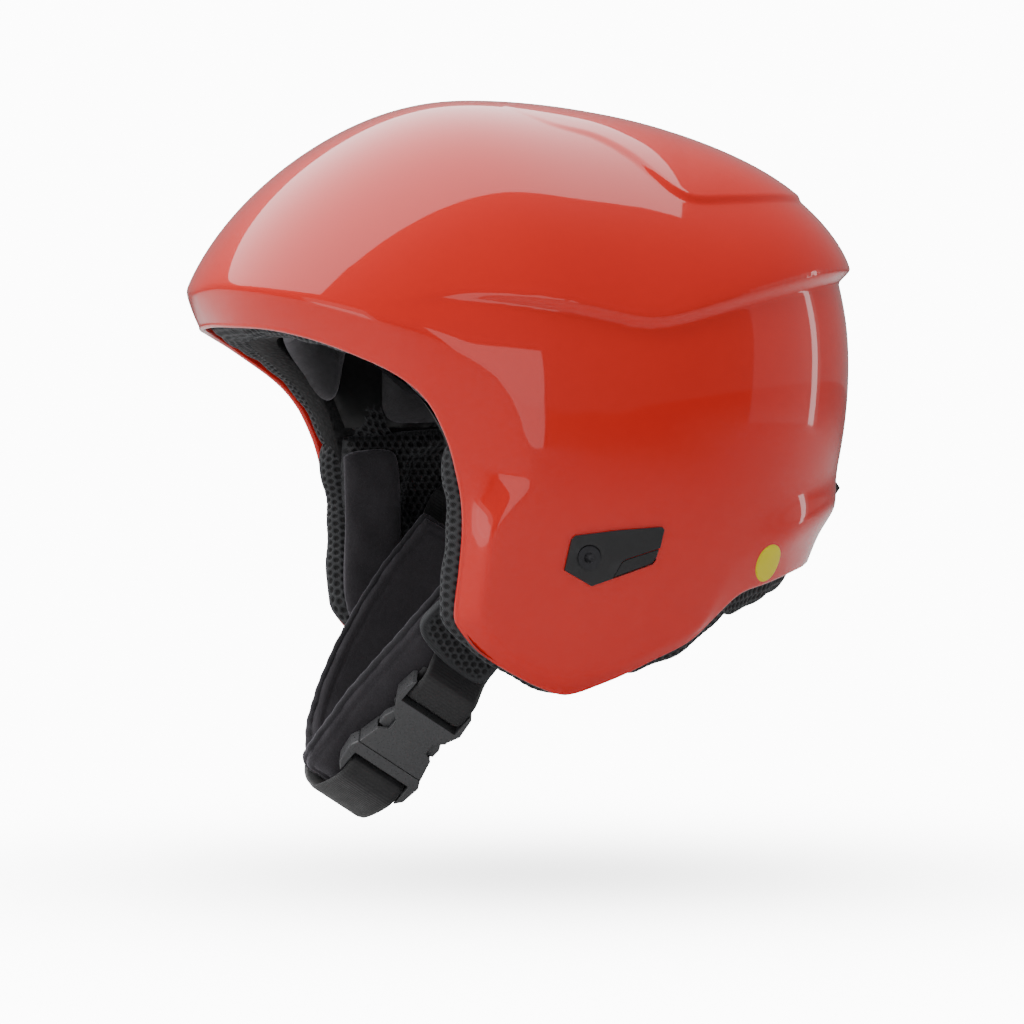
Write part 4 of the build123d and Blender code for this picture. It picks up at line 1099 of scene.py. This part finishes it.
def patch_mesh():
    poly = catmull([(near_skin.s_of_t(t), w) for t, w in MESH_PATCH] + [(near_skin.s_of_t(26), -14)], 1.0)
    lo, hi = poly.min(0), poly.max(0)
    us, vs = np.arange(lo[0] - 1, hi[0] + 1.5, 0.5), np.arange(lo[1] - 1, hi[1] + 1.5, 0.5)
    q, f, lines = clip_grid(us, vs, [lambda v: sd_poly(v, poly)])
    s = sd_poly(q, poly)
    hole = hexhole(q[:, 0] + 0.2, q[:, 1], 3.2) * np.clip((s - 2.2) / 1.5, 0, 1)
    off = 1.9 + 2.1 * dome(s, 1.6) - 0.7 * hole - 0.45 * np.exp(-((s - 2.2) / 0.6) ** 2)
    v = strap3(near_skin.at(q[:, 0], off), q[:, 1])
    a = f[len(f) // 2]
    if np.cross(v[a[1]] - v[a[0]], v[a[2]] - v[a[0]])[0] < 0:
        f = [tuple(x[::-1]) for x in f]
    bnd = boundary(f)
    ids = sorted({x for e in bnd for x in e})
    idm = {x: k for k, x in enumerate(ids)}
    low = strap3(near_skin.at(q[ids, 0], np.full(len(ids), -0.2)), q[ids, 1])
    faces = list(f) + [(e[1], e[0], len(v) + idm[e[0]], len(v) + idm[e[1]]) for e in bnd]
    ob = make("strap_mesh_cover", np.vstack([v, low]), faces, M_KNIT, "chin_strap", values={"hole": np.concatenate([hole, np.zeros(len(ids))])})
    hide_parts("strap_mesh_patch")


patch_mesh()


def ribbon(name, path, width, thick, mat, body, rep, rib=1.45, amp=0.13, wfun=None, blend=None, step=0.36, wc=0.0, place=strap3):
    """Ribbed woven tape along a path in the strap's plane."""
    c = catmull(path, step)
    s = np.concatenate([[0], np.cumsum(np.linalg.norm(np.diff(c, axis=0), axis=1))])
    t = np.gradient(c, axis=0)
    t /= np.linalg.norm(t, axis=1)[:, None] + 1e-9
    n = np.stack([t[:, 1], -t[:, 0]], -1)
    half = width / 2
    ws = np.concatenate([np.linspace(-half, half, 15), np.linspace(half, -half, 15)])
    sg = np.concatenate([np.ones(15), -np.ones(15)])
    e = np.clip((half - np.abs(ws)) / 1.1, 0, 1)
    prof = (thick / 2) * (0.35 + 0.65 * np.sqrt(1 - (1 - e) ** 2))
    selv = 0.10 * np.exp(-((half - np.abs(ws) - 1.6) / 0.5) ** 2)
    ripple = 0.5 + 0.5 * np.sin(2 * math.pi * s / rib)
    off = sg[None, :] * (prof[None, :] + selv[None, :] * 0 + amp * (ripple[:, None] - 0.5) * np.clip(e, 0, 1)[None, :])
    k = len(c)
    xt = (c[:, None, :] + n[:, None, :] * off[..., None]).reshape(-1, 2)
    w = np.tile(ws, k) + wc
    v = place(xt, w)
    f = grid_faces(k, 30, wrap_v=True)
    f = list(f) + [tuple(range(30)), tuple((k - 1) * 30 + j for j in range(30))[::-1]]
    a = f[15 * 29 + 7]
    me_n = np.cross(v[a[1]] - v[a[0]], v[a[2]] - v[a[0]])
    mid_c = place(c[[0]], np.array([wc]))[0]
    vol = 0.0
    va = v - v.mean(0)
    for x in f[:len(f) - 2:3]:
        vol += np.dot(va[x[0]], np.cross(va[x[1]], va[x[2]])) + np.dot(va[x[0]], np.cross(va[x[2]], va[x[3]]))
    if vol < 0:
        f = [tuple(x[::-1]) for x in f]
    # the rib values carry the painted crest highlight for the webbing material
    ob = make(name, v, f, mat, None if blend else body, values={"rib": np.repeat(0.35 * ripple, 30)})
    if blend:
        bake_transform(ob)
    for node in ([rep] if isinstance(rep, str) else (rep or [])):
        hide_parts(node)
    return ob


def skin_pts(skin, t0, t1, off, n):
    s = np.linspace(skin.s_of_t(t0), skin.s_of_t(t1), n)
    return [tuple(v) for v in skin.at(s, np.full(n, off))]


web_l = [(77.4, 8.5), (75.9, 15), (71.6, 23.5)] + skin_pts(near_skin, 33, 84, 1.15, 6) + \
        [bk(-6, 4), bk(.5, 4), bk(4.6, 3.2), bk(6.4, 0), bk(4.6, -3.2), bk(.5, -4), bk(-5, -4.3)]
web_r = [(-77.4, 8.5), (-75.9, 15), (-71.6, 23.5)] + skin_pts(far_skin, 34, 139.5, 1.15, 12)
web_c = [(-22.8, 143.2), (-15, 147.2), (-3, 150.6), (9, 151.6), bk(51.5, 3.9), bk(47, 4.6), bk(43.4, 3.5), bk(42, .2), bk(43.4, -3.6), bk(48.5, -4.9)]
ribbon("webbing_left", web_l, 25, 1.5, M_WEB, "chin_strap", "strap_webbing_left")
ribbon("webbing_right", web_r, 25, 1.5, M_WEB, "chin_strap", "strap_webbing_right")
c0 = strap3(np.array([(-20.0, 145.0)]), np.zeros(1))[0] / 1000
c1 = strap3(np.array([(14.0, 150.0)]), np.zeros(1))[0] / 1000
ribbon("webbing_chin", web_c, 25, 1.5, M_WEB, "chin_strap", "strap_webbing_chin", blend=("chin_strap", "buckle_male", tuple(c0), tuple(c1)))


# ---------------------------------------------------------------- rear retainer strap and sticker
def rear_wall(z):
    q = chart_yz(np.stack([np.full(len(z), 140.0), z], -1), OUT_A, OUT_R)
    om = np.arctan2(z, -np.full(len(z), 140.0))
    ab = 90 * np.stack([np.cos(om), np.sin(om)], -1)
    p, _ = shell_point(ab)
    for _ in range(4):
        om = np.arctan2(z, -p[:, 1])
        ab = 90 * np.stack([np.cos(om), np.sin(om)], -1)
        p, _ = shell_point(ab)
    return p[:, 1]


zz = np.linspace(-31.5, 36.5, 60)
wall_y = rear_wall(zz)
cad_lo, cad_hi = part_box("retainer_strap")
path_y = np.interp(zz, zz, wall_y) + 3.6
rpath = [(float(y), float(z)) for y, z in zip(path_y[::4], zz[::4])]
ribbon("retainer_band", rpath, 21, 2.2, M_ELASTIC, "retainer", "retainer_strap", rib=1.9, amp=0.16,
       place=lambda xt, w: np.stack([np.asarray(w), xt[:, 0], xt[:, 1]], -1))

LC = np.array([88.1, 76.1, -66.0])


def sticker():
    c = chart_of(LC, OUT_A, OUT_R)[0]
    rr = np.concatenate([np.linspace(0.0, 6.9, 12)[1:], [7.3, 7.5]])
    aa = np.linspace(0, 2 * math.pi, 64, endpoint=False)
    c3, _ = shell_point(c[None, :])
    n0 = frame_at(c[None, :])[0]
    u = np.cross(n0, [0, 0, 1.0])
    u /= np.linalg.norm(u)
    w = np.cross(n0, u)
    pts = [c3[0]]
    for r in rr:
        for a in aa:
            pts.append(c3[0] + u * r * math.cos(a) + w * r * math.sin(a))
    q = chart_of(np.array(pts), OUT_A, OUT_R)
    p, _ = shell_point(q)
    n = frame_at(q)
    lift = np.concatenate([[0.38], np.repeat([0.38] * (len(rr) - 2) + [0.34, 0.0], len(aa))])
    p = p + n * lift[:, None]
    f = [(0, 1 + k, 1 + (k + 1) % 64) for k in range(64)]
    for i in range(len(rr) - 1):
        for k in range(64):
            a, b = 1 + i * 64 + k, 1 + i * 64 + (k + 1) % 64
            f.append((a, a + 64, b + 64, b))
    x = f[0]
    if np.dot(np.cross(p[x[1]] - p[x[0]], p[x[2]] - p[x[0]]), n0) < 0:
        f = [tuple(v[::-1]) for v in f]
    ob = make("round_sticker", p, f, M_LABEL, "helmet")
    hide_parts("round_label")


sticker()


def screw_socket():
    """Six-lobed dark bottom of the cover screw's drive, both sides."""
    cy, cz = -7.2, -63.0
    n = 72
    a = np.linspace(0, 2 * math.pi, n, endpoint=False)
    v, f = [], []
    for r, x in ((2.3, 109.3), (1.75, 108.95), (1.45, 108.5)):
        rr = r if r > 2 else r + 0.16 * np.cos(6 * a)
        v += [np.stack([np.full(n, x), cy + rr * np.cos(a), cz + rr * np.sin(a)], -1)]
    v.append(np.array([[108.45, cy, cz]]))
    v = np.vstack(v)
    for k in range(2):
        for i in range(n):
            j = (i + 1) % n
            f.append((k * n + i, k * n + j, (k + 1) * n + j, (k + 1) * n + i))
    f += [(2 * n + i, 2 * n + (i + 1) % n, 3 * n) for i in range(n)]
    for side, sx in (("left", 1), ("right", -1)):
        ob = make(f"screw_drive_{side}", v * [sx, 1, 1], f if sx > 0 else [tuple(x[::-1]) for x in f], M_BLACK_STEEL, "helmet")


screw_socket()


# ---------------------------------------------------------------- carried-over CAD pieces: finish and softened edges
def dress(node, mat, slot, bevel=0.0, seg=2, body=None):
    ob = NODES[node]
    ob.data.materials.clear()
    ob.data.materials.append(mat)
    for poly in ob.data.polygons:
        poly.material_index = 0
    if bevel:
        wd = ob.modifiers.new("weld", "WELD")
        wd.merge_threshold = 0.00002
        bv = ob.modifiers.new("bevel", "BEVEL")
        bv.width = bevel * 0.001
        bv.segments = seg
        bv.limit_method = "ANGLE"
        bv.angle_limit = math.radians(38)
        bv.harden_normals = False
        wn = ob.modifiers.new("wn", "WEIGHTED_NORMAL")
        wn.keep_sharp = False


for sd in ("left", "right"):
    dress(f"side_cover_{sd}", M_COVER, "black_plastic", 0.45)
    dress(f"cover_insert_{sd}", M_INSERT, "insert_plastic", 0.25)
dress("cover_screws", M_BLACK_STEEL, "black_steel", 0.2)
dress("cover_nuts", M_STEEL, "steel")
dress("strap_anchor_plates", M_STEEL, "steel")
dress("strap_rivets", M_STEEL, "steel", 0.2)
dress("strap_tabs", M_COVER, "black_plastic", 0.3)
dress("buckle_female", M_BUCKLE, "buckle_plastic", 0.7, 3)
dress("buckle_male", M_BUCKLE, "buckle_plastic", 0.6, 3)
dress("prong_front", M_BUCKLE, "buckle_plastic", 0.5, 2)
dress("prong_rear", M_BUCKLE, "buckle_plastic", 0.5, 2)
dress("retainer_base", M_COVER, "black_plastic", 0.6)
dress("retainer_cap", M_COVER, "black_plastic", 0.5, 3)
dress("snap_stud", M_BLACK_STEEL, "black_steel", 0.3)
dress("slip_tethers", M_RUBBER, "elastomer", 0.3)

# ---------------------------------------------------------------- floor, light, camera
az, el = math.radians(72.0), math.radians(0.7)
right_v = Vector((math.cos(az), math.sin(az), 0.0))
WHITE = 12.0
floor_z = -0.196
fm = bpy.data.meshes.new("floor")
fm.from_pydata([(-60, -60, floor_z), (60, -60, floor_z), (60, 60, floor_z), (-60, 60, floor_z)], [], [(0, 1, 2, 3)])
kf = Nodes("studio_floor")
kf.set(Base_Color=kf.mix(kf.noise(3.0, 2.0), (0.50, 0.50, 0.50), (0.54, 0.54, 0.54)), Roughness=0.9, Specular_IOR_Level=0.1)
sep = kf.n("ShaderNodeSeparateXYZ")
kf.link(kf.obj(), sep.inputs[0])
px, py = sep.outputs[0], sep.outputs[1]
ra = kf.math("ADD", kf.math("MULTIPLY", px, right_v.x), kf.math("MULTIPLY", py, right_v.y))
ra = kf.math("ADD", ra, -0.012)
rb_ = kf.math("ADD", kf.math("MULTIPLY", px, right_v.y), kf.math("MULTIPLY", py, -right_v.x))
q2 = kf.math("ADD", kf.math("POWER", kf.math("ABSOLUTE", kf.math("DIVIDE", ra, 0.165)), 2.0),
             kf.math("POWER", kf.math("ABSOLUTE", kf.math("DIVIDE", rb_, 0.20)), 2.0))
# painted shadow: the next two lines darken the floor's camera-seen emission in a soft ellipse under the helmet
painted_shadow_weight = kf.math("EXPONENT", kf.math("MULTIPLY", q2, -0.62))
level = kf.math("SUBTRACT", WHITE, kf.math("MULTIPLY", painted_shadow_weight, 8.2))
em = kf.n("ShaderNodeEmission")
em.inputs[0].default_value = (1, 1, 1, 1)
kf.link(level, em.inputs[1])
lpf = kf.n("ShaderNodeLightPath")
mxf = kf.n("ShaderNodeMixShader")
kf.link(lpf.outputs["Is Camera Ray"], mxf.inputs[0])
kf.link(kf.b.outputs[0], mxf.inputs[1])
kf.link(em.outputs[0], mxf.inputs[2])
kf.link(mxf.outputs[0], kf.out.inputs[0])
fm.materials.append(kf.m)
floor = bpy.data.objects.new("studio_floor", fm)
bpy.context.scene.collection.objects.link(floor)

world = bpy.data.worlds.new("studio")
bpy.context.scene.world = world
world.use_nodes = True
wt = world.node_tree
wt.nodes.clear()
wo = wt.nodes.new("ShaderNodeOutputWorld")
bg = wt.nodes.new("ShaderNodeBackground")
bg.inputs[0].default_value = (1, 1, 1, 1)
bg.inputs[1].default_value = WHITE
bgd = wt.nodes.new("ShaderNodeBackground")
bgd.inputs[0].default_value = (1, 1, 1, 1)
bgd.inputs[1].default_value = 0.30
lp = wt.nodes.new("ShaderNodeLightPath")
mixw = wt.nodes.new("ShaderNodeMixShader")
wt.links.new(lp.outputs["Is Camera Ray"], mixw.inputs[0])
wt.links.new(bgd.outputs[0], mixw.inputs[1])
wt.links.new(bg.outputs[0], mixw.inputs[2])
wt.links.new(mixw.outputs[0], wo.inputs[0])

az, el = math.radians(72.0), math.radians(0.7)
back_v = Vector((math.sin(az) * math.cos(el), -math.cos(az) * math.cos(el), math.sin(el)))
right_v = Vector((math.cos(az), math.sin(az), 0.0))
up_v = back_v.cross(right_v)
target = right_v * ((512 - 520) / 2.42) + up_v * ((400 - 512) / 2.42)
cam_p = (target + back_v * 2000.0) * 0.001
cd = bpy.data.cameras.new("camera")
cd.lens = 4840.0 / 1024.0 * 36.0
cd.sensor_width = 36.0
cam = bpy.data.objects.new("camera", cd)
cam.matrix_world = Matrix(((right_v.x, up_v.x, back_v.x, cam_p.x), (right_v.y, up_v.y, back_v.y, cam_p.y),
                           (right_v.z, up_v.z, back_v.z, cam_p.z), (0, 0, 0, 1)))
bpy.context.scene.collection.objects.link(cam)
bpy.context.scene.camera = cam


def softbox(name, pos, x_dir, aim_dir, sx, sy, radiance, tint=(1, 1, 1)):
    """Rectangle facing aim_dir, its long side along x_dir; radiance is the brightness seen in a mirror."""
    ld = bpy.data.lights.new(name, "AREA")
    ld.shape = "RECTANGLE"
    ld.size, ld.size_y = sx, sy
    ld.energy = radiance * math.pi * sx * sy
    ld.color = tint
    ob = bpy.data.objects.new(name, ld)
    z = -Vector(aim_dir).normalized()
    x = Vector(x_dir)
    x = (x - z * x.dot(z)).normalized()
    y = z.cross(x)
    p = Vector(pos)
    ob.matrix_world = Matrix(((x.x, y.x, z.x, p.x), (x.y, y.y, z.y, p.y), (x.z, y.z, z.z, p.z), (0, 0, 0, 1)))
    bpy.context.scene.collection.objects.link(ob)
    return ob


def rub(r, u, b):
    """A point or direction along the camera's right, up and toward-camera directions."""
    return right_v * r + up_v * u + back_v * b


softbox("overhead", rub(-1.10, 1.6, -0.42), rub(1, 0, -0.45), rub(0.12, -1, 0.12), 4.0, 3.1, 3.2)
softbox("rear_panel", rub(2.0, 0.1, -0.25), rub(0, 0, 1), rub(-1, 0, 0.1), 1.5, 1.3, 0.30)
softbox("rear_strip", rub(1.9, 0.12, -0.78), rub(0, 1, 0), rub(-1, 0, 0.4), 1.1, 0.16, 3.2)
softbox("front_fill", rub(-1.6, 0.1, 1.6), rub(1, 0, 1), rub(1, -0.05, -1), 1.2, 1.4, 0.8)
softbox("camera_fill", rub(0.4, 0.2, 2.6), rub(1, 0, 0), rub(-0.1, -0.05, -1), 1.6, 0.9, 1.5)
softbox("low_front", rub(-0.9, -0.1, 0.9), rub(1, 0, 1), rub(1, 0.15, -0.9), 0.5, 0.3, 1.6)
